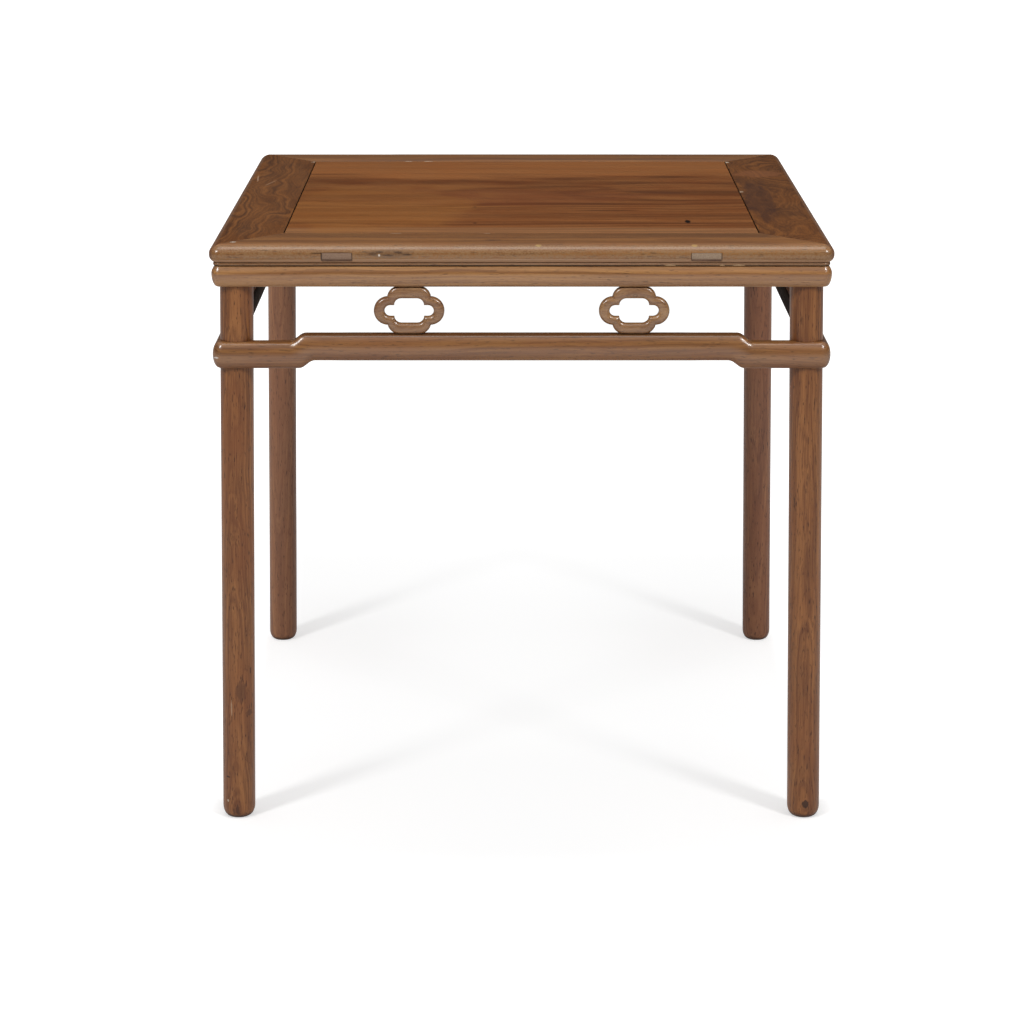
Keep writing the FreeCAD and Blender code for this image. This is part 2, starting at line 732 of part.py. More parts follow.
def strut(name, turn, side):
    """A pierced strut: an upright plate with a lobe on each side, and an opening of the same form."""
    body = new_body(name, turn)
    middle = size.strut_offset * side
    level = (hump_top, moulding_bottom)
    centre = (level[0] + level[1]) / 2
    depth = around(-strut_plane, size.strut_thickness)
    through = widened(depth, Size(OVERCUT, str(OVERCUT)))

    upright = around(middle, size.strut_width)
    block(body, "plate", upright, depth, level)

    def is_plate_corner(edge):
        return is_along(edge, "y")
    dress(body, "PartDesign::Fillet", "plate_corners", is_plate_corner, Radius=size.strut_corner)
    for lobe in (-1, 1):
        disc(body, "lobe", middle + size.lobe_offset * lobe, centre, size.lobe_radius, depth)

    opening_x = around(middle, size.opening_width)
    opening_z = around(centre, size.opening_height)
    block(body, "opening", opening_x, through, opening_z, cut=True)

    def is_opening_corner(edge):
        return is_along(edge, "y") and all(
            abs(abs(point.x - middle.value) - size.opening_width.value / 2) < TOLERANCE
            and abs(abs(point.z - centre.value) - size.opening_height.value / 2) < TOLERANCE
            for point in samples(edge)
        )
    dress(body, "PartDesign::Fillet", "opening_corners", is_opening_corner, Radius=size.opening_corner)
    slot_x = around(middle, size.opening_lobe_offset * 2)
    slot_z = around(centre, size.opening_lobe_radius * 2)
    block(body, "opening_slot", slot_x, through, slot_z, cut=True)
    for lobe in (-1, 1):
        lobe_x = middle + size.opening_lobe_offset * lobe
        disc(body, "opening_lobe", lobe_x, centre, size.opening_lobe_radius, through, cut=True)

    depth_cut = size.strut_tenon_depth + gap
    for levels in ((level[0] - OVERCUT, level[0] + depth_cut), (level[1] - depth_cut, level[1] + OVERCUT)):
        mortise(
            body,
            "loose_tenon_mortise",
            middle,
            -strut_plane,
            size.strut_tenon_width,
            size.strut_tenon_thickness,
            levels,
        )
    return body


def strut_pair(name, turn):
    """The two struts of one side, as one group of separate solids."""
    pair = doc.addObject("Part::Compound", name)
    pair.Label = name
    pair.Links = [strut(f"{name}_{end}", turn, side) for end, side in (("first", -1), ("second", 1))]
    return pair


# ---------------------------------------------------------------- loose tenons

def loose_tenons(name, offset, plane, width, thickness, depth, joints):
    """Loose tenons of all four sides, centred on each joint level, as one group of solids."""
    tenons = []
    for turn in SIDES.values():
        for side in (-1, 1):
            for joint in joints:
                tenon = doc.addObject("Part::Box", f"{name}_piece")
                bind(tenon, Length=width, Width=thickness, Height=depth * 2)
                tenon.Placement = FreeCAD.Placement(
                    FreeCAD.Vector(), FreeCAD.Rotation(FreeCAD.Vector(0, 0, 1), turn)
                )
                x, y = turned(offset * side - width / 2, -plane - thickness / 2, turn)
                place(tenon, x, y, joint - depth)
                tenons.append(tenon)
    group = doc.addObject("Part::Compound", name)
    group.Label = name
    group.Links = tenons
    return group


# ---------------------------------------------------------------- assembly

nodes = [top_panel()]
nodes += [batten(f"batten_{name}", side) for name, side in BATTENS.items()]
for side_name, turn in SIDES.items():
    nodes.append(frame_rail(f"frame_{side_name}_rail", turn, with_tenons=turn % 180 == 0))
    nodes.append(moulding(f"moulding_{side_name}", turn))
    nodes.append(stretcher(f"stretcher_{side_name}", turn))
    nodes.append(strut_pair(f"struts_{side_name}", turn))
for corner_name, turn in CORNERS.items():
    nodes.append(leg(f"leg_{corner_name}", turn, long_first=turn % 180 == 0))
nodes.append(
    loose_tenons(
        "strut_loose_tenons",
        size.strut_offset,
        strut_plane,
        size.strut_tenon_width,
        size.strut_tenon_thickness,
        size.strut_tenon_depth,
        (hump_top, moulding_bottom),
    )
)
nodes.append(
    loose_tenons(
        "moulding_loose_tenons",
        size.moulding_tenon_offset,
        moulding_tenon_plane,
        size.moulding_tenon_width,
        size.moulding_tenon_thickness,
        size.moulding_tenon_depth,
        (frame_bottom,),
    )
)
doc.recompute()

# ---------------------------------------------------------------- checks and export

failed = [item.Label for item in doc.Objects if {"Invalid", "Error"} & set(item.State)]
if failed:
    raise RuntimeError("failed features: " + ", ".join(failed))
for node in nodes:
    if node.Shape.isNull() or not node.Shape.isValid():
        raise RuntimeError("bad shape: " + node.Label)

os.makedirs("parts", exist_ok=True)
for node in nodes:
    node.Shape.exportStep(f"parts/{node.Label}.step")
print(len(nodes), "nodes written")
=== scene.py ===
import logging
import math
from collections.abc import Callable, Iterable, Iterator
from contextlib import contextmanager
from dataclasses import dataclass, replace
from enum import Enum

import bmesh
import bpy
from mathutils import Matrix, Vector


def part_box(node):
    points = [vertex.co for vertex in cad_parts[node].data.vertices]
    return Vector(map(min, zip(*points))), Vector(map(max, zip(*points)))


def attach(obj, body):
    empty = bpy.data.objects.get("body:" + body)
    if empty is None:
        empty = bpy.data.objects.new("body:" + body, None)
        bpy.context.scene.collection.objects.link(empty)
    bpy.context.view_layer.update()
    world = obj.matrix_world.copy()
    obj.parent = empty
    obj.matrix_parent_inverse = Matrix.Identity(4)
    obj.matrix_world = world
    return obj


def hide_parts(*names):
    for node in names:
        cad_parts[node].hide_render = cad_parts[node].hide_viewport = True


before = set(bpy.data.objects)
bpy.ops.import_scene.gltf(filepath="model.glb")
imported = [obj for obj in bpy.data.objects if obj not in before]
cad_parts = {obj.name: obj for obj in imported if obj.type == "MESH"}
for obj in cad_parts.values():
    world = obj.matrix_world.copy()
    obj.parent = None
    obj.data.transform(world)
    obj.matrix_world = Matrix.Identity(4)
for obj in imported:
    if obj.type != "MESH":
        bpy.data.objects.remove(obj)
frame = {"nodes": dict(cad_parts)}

MM = 0.001
PAST = 10 * MM  # how far tools that cut through wood reach past it
LOG = logging.getLogger("square_table")

Piece = bpy.types.Object
Material = bpy.types.Material
Tree = bpy.types.NodeTree
Node = bpy.types.Node
Socket = bpy.types.NodeSocket
Place = tuple[float, float, float]
Span = tuple[float, float]


class Quarter(Enum):
    """One of four places round the table, by the turn in degrees that carries the first place to it."""

    @property
    def label(self) -> str:
        """The place's name as the nodes spell it."""
        return self.name.lower()

    @property
    def number(self) -> int:
        """0 to 3, counted round the table."""
        return self.value // 90


class Side(Quarter):
    """A side of the table."""

    FRONT = 0
    RIGHT = 90
    BACK = 180
    LEFT = 270

    @property
    def fibres(self) -> "Fibres":
        """The direction of the fibres in a piece that runs along this side."""
        return Fibres.LEFT_RIGHT if self in (Side.FRONT, Side.BACK) else Fibres.FRONT_BACK


class Corner(Quarter):
    """A corner of the table."""

    FRONT_LEFT = 0
    FRONT_RIGHT = 90
    BACK_RIGHT = 180
    BACK_LEFT = 270


class Fibres(Enum):
    """The way the fibres run, with the turn in degrees that lays them along X."""

    LEFT_RIGHT = (0.0, 0.0, 0.0)
    FRONT_BACK = (0.0, 0.0, -90.0)
    UPRIGHT = (0.0, 90.0, 0.0)


# ---------- modelling helpers


def deselect() -> None:
    """Leaves nothing selected, so that an operator acts only on what is chosen next."""
    if bpy.context.object and bpy.context.object.mode != "OBJECT":
        bpy.ops.object.mode_set(mode="OBJECT")
    bpy.ops.object.select_all(action="DESELECT")


def focus(piece: Piece) -> None:
    """Makes one piece the only selected and the active one.

    Args:
        piece: The object that operators act on next.
    """
    deselect()
    piece.select_set(True)
    bpy.context.view_layer.objects.active = piece


@contextmanager
def editing(piece: Piece, mode: str = "FACE") -> Iterator[None]:
    """Edit mode on one piece with nothing selected.

    Args:
        piece: The mesh object to shape.
        mode: VERT, EDGE or FACE selection.

    Yields:
        Nothing. Edit mode ends with the block.
    """
    focus(piece)
    bpy.ops.object.mode_set(mode="EDIT")
    bpy.ops.mesh.select_mode(type=mode)
    bpy.ops.mesh.select_all(action="DESELECT")
    yield
    bpy.ops.object.mode_set(mode="OBJECT")


def select_where(piece: Piece, parts: str, test: Callable[[Vector], bool]) -> None:
    """Selects the parts that lie wholly in one region of a piece in edit mode.

    Args:
        piece: The mesh object that is being shaped.
        parts: faces or edges.
        test: Whether a corner's position is in the region.
    """
    mesh = bmesh.from_edit_mesh(piece.data)
    for part in getattr(mesh, parts):
        part.select_set(all(test(vertex.co) for vertex in part.verts))
    bmesh.update_edit_mesh(piece.data)


def apply_place(piece: Piece) -> Piece:
    """Moves the object's place, turn and scale into its mesh.

    Args:
        piece: The object.

    Returns:
        The same object, at the origin, unturned and unscaled.
    """
    focus(piece)
    bpy.ops.object.transform_apply(location=True, rotation=True, scale=True)
    return piece


def add_box(name: str, low: Place, high: Place) -> Piece:
    """Adds a box.

    Args:
        name: Its name.
        low: Its corner at the least coordinates, in metres.
        high: The opposite corner.

    Returns:
        The box.
    """
    deselect()
    low, high = Vector(low), Vector(high)
    bpy.ops.mesh.primitive_cube_add(size=1, location=(low + high) / 2, scale=high - low)
    bpy.context.object.name = name
    return apply_place(bpy.context.object)


def add_rod(name: str, start: Vector, end: Vector, radius: float, sides: int) -> Piece:
    """Adds a round rod.

    Args:
        name: Its name.
        start: The middle of one end.
        end: The middle of the other.
        radius: In metres.
        sides: Number of faces round it.

    Returns:
        The rod.
    """
    deselect()
    along = end - start
    bpy.ops.mesh.primitive_cylinder_add(
        vertices=sides, radius=radius, depth=along.length, location=(start + end) / 2,
        rotation=along.to_track_quat("Z", "Y").to_euler(),
    )
    bpy.context.object.name = name
    return apply_place(bpy.context.object)


def loft(name: str, rings: list[list[Vector]]) -> Piece:
    """Extrudes an outline from ring to ring, closed by a face at both ends.

    Args:
        name: The new object's name.
        rings: Outlines with the same number of points each.

    Returns:
        The closed mesh.
    """
    deselect()
    bpy.ops.mesh.primitive_circle_add(vertices=len(rings[0]), radius=0.01, fill_type="NGON")
    piece = bpy.context.object
    piece.name = name
    order = piece.data.attributes.new("order", "INT", "POINT")
    for index, item in enumerate(order.data):
        item.value = index
    with editing(piece, "VERT"):
        bpy.ops.mesh.select_all(action="SELECT")
        for number, ring in enumerate(rings):
            if number:
                bpy.ops.mesh.extrude_region_move()
            mesh = bmesh.from_edit_mesh(piece.data)
            layer = mesh.verts.layers.int["order"]
            for vertex in mesh.verts:
                if vertex.select:
                    vertex.co = ring[vertex[layer]]
            bmesh.update_edit_mesh(piece.data)
        bpy.ops.mesh.select_all(action="SELECT")
        bpy.ops.mesh.normals_make_consistent(inside=False)
    piece.data.attributes.remove(piece.data.attributes["order"])
    return piece


def apply_modifier(piece: Piece, kind: str, **settings: object) -> None:
    """Adds a modifier and applies it.

    Args:
        piece: The piece that it shapes.
        kind: The modifier's type.
        settings: Its property values by name.
    """
    focus(piece)
    modifier = piece.modifiers.new(kind.lower(), kind)
    for key, value in settings.items():
        setattr(modifier, key, value)
    bpy.ops.object.modifier_apply(modifier=modifier.name)


def combine(piece: Piece, tool: Piece, operation: str) -> None:
    """Joins the tool to the piece or cuts it away, and removes the tool.

    Args:
        piece: The piece that is changed.
        tool: The closed mesh that is added or taken away.
        operation: UNION, DIFFERENCE or INTERSECT.
    """
    apply_modifier(piece, "BOOLEAN", operation=operation, object=tool, solver="EXACT")
    bpy.data.objects.remove(tool)


def ease(piece: Piece, width: float, sharp: float = 32.0) -> None:
    """Rounds the edges that turn by more than the sharp angle, in degrees."""
    apply_modifier(
        piece, "BEVEL", width=width, segments=2, limit_method="ANGLE", angle_limit=math.radians(sharp),
        use_clamp_overlap=True, miter_outer="MITER_ARC",
    )


def smooth(piece: Piece, angle: float = 35.0) -> None:
    """Smooth shading over edges that are flatter than the angle, in degrees."""
    focus(piece)
    bpy.ops.object.shade_smooth_by_angle(angle=math.radians(angle))


def turned(degrees: float) -> Matrix:
    """The turn about the table's upright axis."""
    return Matrix.Rotation(math.radians(degrees), 4, "Z")


def copy_placed(piece: Piece, name: str, place: Matrix) -> Piece:
    """Copies a piece with a mesh of its own.

    Args:
        piece: The piece to copy.
        name: The copy's name.
        place: The move or turn of the copy's mesh.

    Returns:
        The copy.
    """
    twin = piece.copy()
    twin.data = piece.data.copy()
    twin.name = name
    twin.data.name = name
    bpy.context.scene.collection.objects.link(twin)
    twin.data.transform(place)
    return twin


def finish_piece(piece: Piece, node: str, material: Material) -> None:
    """Dresses a piece and lets it stand for its CAD node.

    Args:
        piece: The finished mesh.
        node: The node that it replaces.
        material: Its finish.
    """
    piece.data.materials.clear()
    piece.data.materials.append(material)
    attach(piece, "root")
    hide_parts(node)
    LOG.info("%s: %d faces", piece.name, len(piece.data.polygons))


def carry_round(
    model: Piece, places: Iterable[Quarter], name: str, node: str,
    wood: Callable[[Quarter], Material], angle: float = 35.0,
) -> dict[Quarter, Piece]:
    """Copies a front piece to its places round the table, dresses the copies and removes the model.

    Args:
        model: The piece in its front place.
        places: The sides or corners that get a copy.
        name: A copy's name, with {} for its place.
        node: The node that it stands for, with {} for its place.
        wood: Gives the material of the copy at a place.
        angle: Edges flatter than this many degrees are shaded smooth.

    Returns:
        The copies by place.
    """
    copies = {}
    for place in places:
        copies[place] = copy_placed(model, name.format(place.label), turned(place.value))
        smooth(copies[place], angle)
        finish_piece(copies[place], node.format(place.label), wood(place))
    bpy.data.objects.remove(model)
    return copies


# ---------- finishes


SOFT = {"interpolation_type": "SMOOTHSTEP"}
WHITE, BLACK = (1.0, 1.0, 1.0, 1.0), (0.0, 0.0, 0.0, 1.0)
MOST_NOISE = (0.3, 0.7)  # where nearly all values of a noise lie


def linear(code: str) -> tuple[float, float, float, float]:
    """Turns an sRGB hex colour such as #80604a into linear RGBA."""
    parts = [int(code[index:index + 2], 16) / 255 for index in (1, 3, 5)]
    return (*(c / 12.92 if c <= 0.04045 else ((c + 0.055) / 1.055) ** 2.4 for c in parts), 1.0)


def add_node(tree: Tree, kind: str, inputs: dict | tuple = (), **settings: object) -> Node:
    """Adds a node, sets its properties, and sets or links its inputs.

    Args:
        tree: The node tree of a material or the world.
        kind: The node's type, without ShaderNode.
        inputs: Values, sockets or nodes, by name or number or in order. A node gives its first output.
        settings: Property values by name.

    Returns:
        The new node.
    """
    made = tree.nodes.new(f"ShaderNode{kind}")
    for name, value in settings.items():
        setattr(made, name, value)
    for name, value in inputs.items() if isinstance(inputs, dict) else enumerate(inputs):
        source = value.outputs[0] if isinstance(value, Node) else value
        if isinstance(source, Socket):
            tree.links.new(source, made.inputs[name])
        else:
            made.inputs[name].default_value = source
    return made


def stretched(length: float, width: float) -> Place:
    """The scale that gives noise features of this length and width, in millimetres."""
    return (1 / (length * MM), 1 / (width * MM), 1 / (width * MM))


@dataclass(frozen=True)
class Mark:
    """One trace of use: a knot, scratch, chip, smear or filled flaw at its own place.

    It colours what lies in an ellipsoid, in millimetres and turned about Z by degrees. The more ragged it
    is, the further its rim strays. Some marks are patches of painted shade and painted light, not traces of
    use.
    """

    place: Place
    size: Place
    colour: str
    share: float = 1.0
    ragged: float = 0.5
    turn: float = 0.0
    rim: Span = (0.75, 1.15)
    rim_waves: float = 1.4

    def carried(self, side: Side) -> "Mark":
        """A front mark carried round to another side."""
        place = turned(side.value) @ Vector(self.place)
        return replace(self, place=tuple(place), turn=self.turn + side.value)

    def reach(self, tree: Tree, board: Node) -> Node:
        """How much of the mark's colour shows, with a ragged rim.

        Args:
            tree: The material's node tree.
            board: The piece's Texture Coordinate node.

        Returns:
            The node that gives the share.
        """
        middle = [coordinate * MM for coordinate in self.place]
        centred = add_node(tree, "VectorMath", (board.outputs["Object"], middle), operation="SUBTRACT")
        lying = add_node(
            tree, "Mapping", {"Vector": centred, "Rotation": (0.0, 0.0, math.radians(-self.turn))}
        )
        half_size = [extent / 2 * MM for extent in self.size]
        scaled = add_node(tree, "VectorMath", (lying, half_size), operation="DIVIDE")
        away = add_node(tree, "VectorMath", (scaled,), operation="LENGTH").outputs["Value"]
        rim = add_node(tree, "TexNoise", {"Vector": scaled, "Scale": self.rim_waves, "Detail": 3.0})
        torn = add_node(tree, "Math", (rim, self.ragged * 2, away), operation="MULTIPLY_ADD")
        inner, outer = (place + self.ragged for place in self.rim)
        return add_node(tree, "MapRange", (torn, inner, outer, self.share, 0.0), **SOFT)


@dataclass(frozen=True)
class WaxedHardwood:
    """Old dense hardwood, planed, scraped and waxed: growth lines, short dark pores and a low soft sheen.

    Pattern sizes are in millimetres, along the fibres and across them. Real pores are about 0.2 mm wide
    and 2 mm long, and real fibres finer still. Both are too fine to show, so they are drawn as streaks
    several times as coarse. A pair named span says where a pattern begins and where it is full, in its
    noise or in the way that a face looks.
    """

    name: str
    light: str = "#a8744a"
    dark: str = "#6f4228"
    warm: str = "#8a4a26"
    pore: str = "#2a170e"
    worn: str = "#a88a6c"
    grime: str = "#24140c"
    end_grain: str = "#78685c"
    ring: float = 9.0
    pith: Span = (210.0, -900.0)
    ring_share: float = 0.40
    fibre: Span = (130.0, 1.9)
    fibre_share: float = 0.32
    broad: Span = (320.0, 26.0)
    broad_share: float = 0.38
    contrast: Span = (0.38, 0.62)
    blotch: Span = (110.0, 55.0)
    wander: Place = (420.0, 120.0, 10.0)
    pores: Span = (13.0, 1.7)
    pore_span: Span = (0.60, 0.70)
    pore_share: float = 0.45
    pore_depth: float = 1.5
    warm_span: Span = (0.42, 0.66)
    warm_share: float = 0.45
    worn_share: float = 0.0
    worn_above: Span = (0.97, 0.90)
    worn_change: float = 0.2
    grit: Span = (2.6, 2.2)
    grit_span: Span = (0.35, 0.65)
    speckle: float = 0.0
    end_span: Span = (0.90, 0.97)
    end_pore: float = 0.55
    grime_reach: float = 6.0
    grime_open: Span = (0.62, 0.25)
    grime_share: float = 0.75
    roughness: float = 0.40
    roughness_change: Span = (-0.05, 0.10)
    gloss_span: Span = (0.35, 0.7)
    index: float = 1.5
    specular: float = 0.5
    coat: float = 0.10
    coat_roughness: float = 0.24
    coat_index: float = 1.5
    coat_span: Span = (-0.55, 0.0)
    coat_below: float = 0.25
    bump: float = 0.22
    bump_height: float = 0.5
    board_steps: Place = (1.37, 0.11, 0.07)

    def material(
        self, fibres: Fibres, seed: int, marks: tuple[Mark, ...] = (), shift: Span | None = None
    ) -> Material:
        """Builds the material of one piece.

        Args:
            fibres: The way the fibres run in the piece.
            seed: Number that gives the piece wood of its own.
            marks: Traces of use, and patches of painted shade and light, on this piece.
            shift: Moves the piece across its fibres before the pith is placed, instead of by the seed.

        Returns:
            The material, whose patterns lie fixed in the piece.
        """
        made = bpy.data.materials.new(f"{self.name}_{seed}")
        made.use_nodes = True
        tree = made.node_tree
        tree.nodes.clear()
        board = add_node(tree, "TexCoord")
        upward = add_node(tree, "SeparateXYZ", (board.outputs["Normal"],)).outputs["Z"]
        turn = [math.radians(angle) for angle in fibres.value]
        step, *across = self.board_steps
        start = (step * seed, *(shift or (across[0] * (seed % 5), across[1] * (seed % 3))))
        place = add_node(
            tree, "Mapping", {"Vector": board.outputs["Object"], "Rotation": turn, "Location": start}
        )
        place = self.wandering(tree, place)
        rings = self.growth_lines(tree, place)
        fibre = self.pattern(tree, place, self.fibre, 3.0)
        broad = self.pattern(tree, place, self.broad, 3.0)
        blotch = self.pattern(tree, place, self.blotch, 4.0)
        dots = self.pattern(tree, place, self.pores, 2.0)

        tone, total = 0.0, 0.0
        for lines, share in ((rings, self.ring_share), (fibre, self.fibre_share), (broad, self.broad_share)):
            tone = add_node(tree, "Math", (lines, share, tone), operation="MULTIPLY_ADD")
            total += share
        pale, deep = (limit * total for limit in self.contrast)
        pore = add_node(tree, "MapRange", (dots, *self.pore_span, 0.0, self.pore_share))
        layers = [
            (add_node(tree, "MapRange", (tone, pale, deep), **SOFT), self.dark),
            (add_node(tree, "MapRange", (blotch, *self.warm_span, 0.0, self.warm_share)), self.warm),
            # Wear on the frame's edges, and painted light from the floor on faces that look down.
            (self.worn_faces(tree, board, upward, blotch), self.worn),
            (pore, self.pore),
            (self.sawn_ends(tree, board, turn, dots), self.end_grain),
            *((mark.reach(tree, board), mark.colour) for mark in marks),
            # Painted shade in seams, hollows and under parts, with old wax and dirt there.
            (self.crevices(tree), self.grime),
        ]
        colour = linear(self.light)
        for share, shade in layers:
            mixed = add_node(tree, "Mix", {0: share, 6: colour, 7: linear(shade)}, data_type="RGBA")
            colour = mixed.outputs[2]
        smoothest, roughest = (self.roughness + change for change in self.roughness_change)
        gloss = add_node(tree, "MapRange", (blotch, *self.gloss_span, smoothest, roughest))
        height = add_node(tree, "Math", (pore, -self.pore_depth, fibre), operation="MULTIPLY_ADD")
        relief = add_node(
            tree, "Bump", {"Strength": self.bump, "Distance": self.bump_height * MM, "Height": height}
        )
        coat = self.coat
        if coat:
            # Hands and cloths polish the faces they reach, and the wax is thin on faces that look down.
            below = coat * self.coat_below
            coat = add_node(tree, "MapRange", (upward, *self.coat_span, below, coat), **SOFT)
        shader = add_node(tree, "BsdfPrincipled", {
            "Base Color": colour, "Roughness": gloss, "IOR": self.index, "Specular IOR Level": self.specular,
            "Coat Weight": coat, "Coat Roughness": self.coat_roughness, "Coat IOR": self.coat_index,
            "Normal": relief,
        })
        add_node(tree, "OutputMaterial", (shader,))
        return made

    def wandering(self, tree: Tree, place: Node) -> Node:
        """Lets the fibres drift sideways, as they do round knots.

        Args:
            tree: The material's node tree.
            place: The node that gives the position in the board, in metres.

        Returns:
            The node that gives the drifted position.
        """
        length, width, reach = self.wander
        slow = add_node(tree, "Mapping", {"Vector": place, "Scale": stretched(length, width)})
        drift = add_node(tree, "TexNoise", {"Vector": slow, "Scale": 1.0, "Detail": 2.0}).outputs["Color"]
        centred = add_node(tree, "VectorMath", (drift, (0.5, 0.5, 0.5)), operation="SUBTRACT")
        swing = (0.0, 4 * reach * MM, 4 * reach * MM)
        return add_node(tree, "VectorMath", (centred, swing, place), operation="MULTIPLY_ADD")

    def growth_lines(self, tree: Tree, place: Node) -> Node:
        """Light and dark years by the distance from the pith of the tree, uneven in width.

        Args:
            tree: The material's node tree.
            place: The node that gives the position in the board.

        Returns:
            The node that gives the noise of the years.
        """
        across = 1 / (self.ring * MM)
        centre = (0.0, -self.pith[0] / self.ring, -self.pith[1] / self.ring)
        centred = add_node(
            tree, "Mapping", {"Vector": place, "Location": centre, "Scale": (0.0, across, across)}
        )
        years = add_node(tree, "VectorMath", (centred,), operation="LENGTH").outputs["Value"]
        return add_node(tree, "TexNoise", {"W": years, "Scale": 1.0, "Detail": 3.0}, noise_dimensions="1D")

    def pattern(self, tree: Tree, place: Node | Socket, size: Span, detail: float) -> Node:
        """Noise with features of about this length along the fibres and width across them."""
        mapped = add_node(tree, "Mapping", {"Vector": place, "Scale": stretched(*size)})
        return add_node(tree, "TexNoise", {"Vector": mapped, "Scale": 1.0, "Detail": detail})

    def worn_faces(self, tree: Tree, board: Node, upward: Socket, blotch: Node) -> Node:
        """Paler, drier wood where hands and sleeves rub: faces that do not look straight up.

        Where a wood picks only the faces that look down, as the mouldings, stretchers and struts do, this
        paler colour is painted light from the floor.

        Args:
            tree: The material's node tree.
            board: The piece's Texture Coordinate node.
            upward: How far a face looks up.
            blotch: Slow noise that makes the wear uneven.

        Returns:
            The node that gives the share of worn wood.
        """
        aside = add_node(tree, "MapRange", (upward, *self.worn_above), **SOFT)
        grit = self.pattern(tree, board.outputs["Object"], self.grit, 2.0)
        uneven = add_node(tree, "MapRange", (grit, *self.grit_span, 1.0 - self.speckle, 1.0 + self.speckle))
        most, least = self.worn_share * (1 + self.worn_change), self.worn_share * (1 - self.worn_change)
        patchy = add_node(tree, "MapRange", (blotch, *MOST_NOISE, most, least))
        share = add_node(tree, "Math", (aside, patchy), operation="MULTIPLY")
        return add_node(tree, "Math", (share, uneven), operation="MULTIPLY", use_clamp=True)

    def sawn_ends(self, tree: Tree, board: Node, turn: list[float], dots: Node) -> Node:
        """Dry grey end grain where the fibres are cut across.

        Args:
            tree: The material's node tree.
            board: The piece's Texture Coordinate node.
            turn: The turn in radians that lays the fibres along X.
            dots: The noise of the pores.

        Returns:
            The node that gives the share of end grain.
        """
        facing = {"Vector": board.outputs["Normal"], "Rotation": turn}
        axes = add_node(tree, "SeparateXYZ", (add_node(tree, "Mapping", facing, vector_type="VECTOR"),))
        across = add_node(tree, "Math", (axes.outputs["X"],), operation="ABSOLUTE")
        ends = add_node(tree, "MapRange", (across, *self.end_span))
        uneven = add_node(tree, "MapRange", (dots, *MOST_NOISE, 1.0, self.end_pore))
        return add_node(tree, "Math", (ends, uneven), operation="MULTIPLY")

    def crevices(self, tree: Tree) -> Node:
        """Old wax and dirt in seams and hollow corners, together with painted shade that darkens them by
        ambient occlusion.
        """
        nearby = add_node(tree, "AmbientOcclusion", {"Distance": self.grime_reach * MM}, samples=6)
        return add_node(
            tree, "MapRange", (nearby.outputs["AO"], *self.grime_open, 0.0, self.grime_share), **SOFT
        )


# ---------- woods, their traces of use, and their painted shade and light


# A wide planed board, waxed thin: long quiet streaks and almost no glare.
PANEL_WOOD = WaxedHardwood(
    "waxed_panel_board", light="#86542d", dark="#593218", warm="#6d3b1e", ring=3.2, pith=(180.0, -420.0),
    fibre=(210.0, 2.2), broad=(480.0, 30.0), wander=(600.0, 160.0, 6.0), warm_share=0.45, pore_share=0.40,
    specular=0.03, coat=0.0,
)
# Straight wood with an edge rubbed by sleeves: a pale speckled band that catches the light.
LONG_MEMBER_WOOD = WaxedHardwood(
    "waxed_long_member", light="#9a652f", dark="#6f431c", warm="#834e21", worn="#906b46", worn_share=0.7,
    speckle=0.6, specular=0.05, coat=0.7, coat_index=1.8, ring=6.0, grime="#2e1b10", grime_reach=6.0,
    grime_open=(0.46, 0.24), grime_share=0.2,
)
# Wavy wood from near a knot: dark swirls on a thin coat of wax.
END_MEMBER_WOOD = WaxedHardwood(
    "waxed_burl_member", light="#875427", dark="#4b2a12", warm="#6b3e1b", worn="#8a6a54", worn_share=0.45,
    specular=0.03, coat=0.25, coat_index=1.8, ring=2.8, ring_share=0.48, wander=(190.0, 90.0, 15.0),
    fibre=(60.0, 2.0), fibre_share=0.34, broad=(110.0, 26.0), broad_share=0.3, contrast=(0.30, 0.68),
    speckle=0.3, grime_reach=8.0, grime_open=(0.62, 0.36), grime_share=0.6,
)
# Planed and never waxed: dull, with ends of a greyish brown.
BATTEN_WOOD = WaxedHardwood(
    "dry_batten", light="#7a5a42", dark="#54392a", warm="#684830", end_grain="#917560", roughness=0.6,
    coat=0.0,
)
# The same dry wood, with paler ends than the left batten's.
PALE_BATTEN_WOOD = replace(BATTEN_WOOD, name="dry_pale_batten", end_grain="#a18a73")
# Scraped round and polished by use: light wood with a clear soft gloss, paler with painted light from the
# floor on the faces that look down.
MOULDING_WOOD = WaxedHardwood(
    "waxed_moulding", light="#b3804a", dark="#855830", warm="#966234", worn="#a88263", worn_share=0.35,
    worn_above=(0.2, -0.5), speckle=0.3, ring=5.0, roughness=0.36, specular=0.25, coat=0.8, coat_index=1.8,
    grime_reach=7.0, grime_open=(0.52, 0.28), grime_share=0.8,
)
# The same scraping and polish on darker wood: a long soft highlight on the round face, and painted light from
# the floor on the faces that look down.
STRETCHER_WOOD = WaxedHardwood(
    "waxed_stretcher", light="#96673a", dark="#704626", warm="#83502d", worn="#8b5f3f", worn_share=0.25,
    worn_above=(0.2, -0.5), speckle=0.3, ring=5.0, roughness=0.36, specular=0.25, coat=0.8, coat_index=1.8,
)
# Sawn from short curly pieces and rubbed round: lighter, with wavy fibres, and the same painted light from
# the floor below.
STRUT_WOOD = replace(
    STRETCHER_WOOD, name="waxed_strut", light="#a57c52", dark="#7d583a", wander=(60.0, 40.0, 8.0)
)
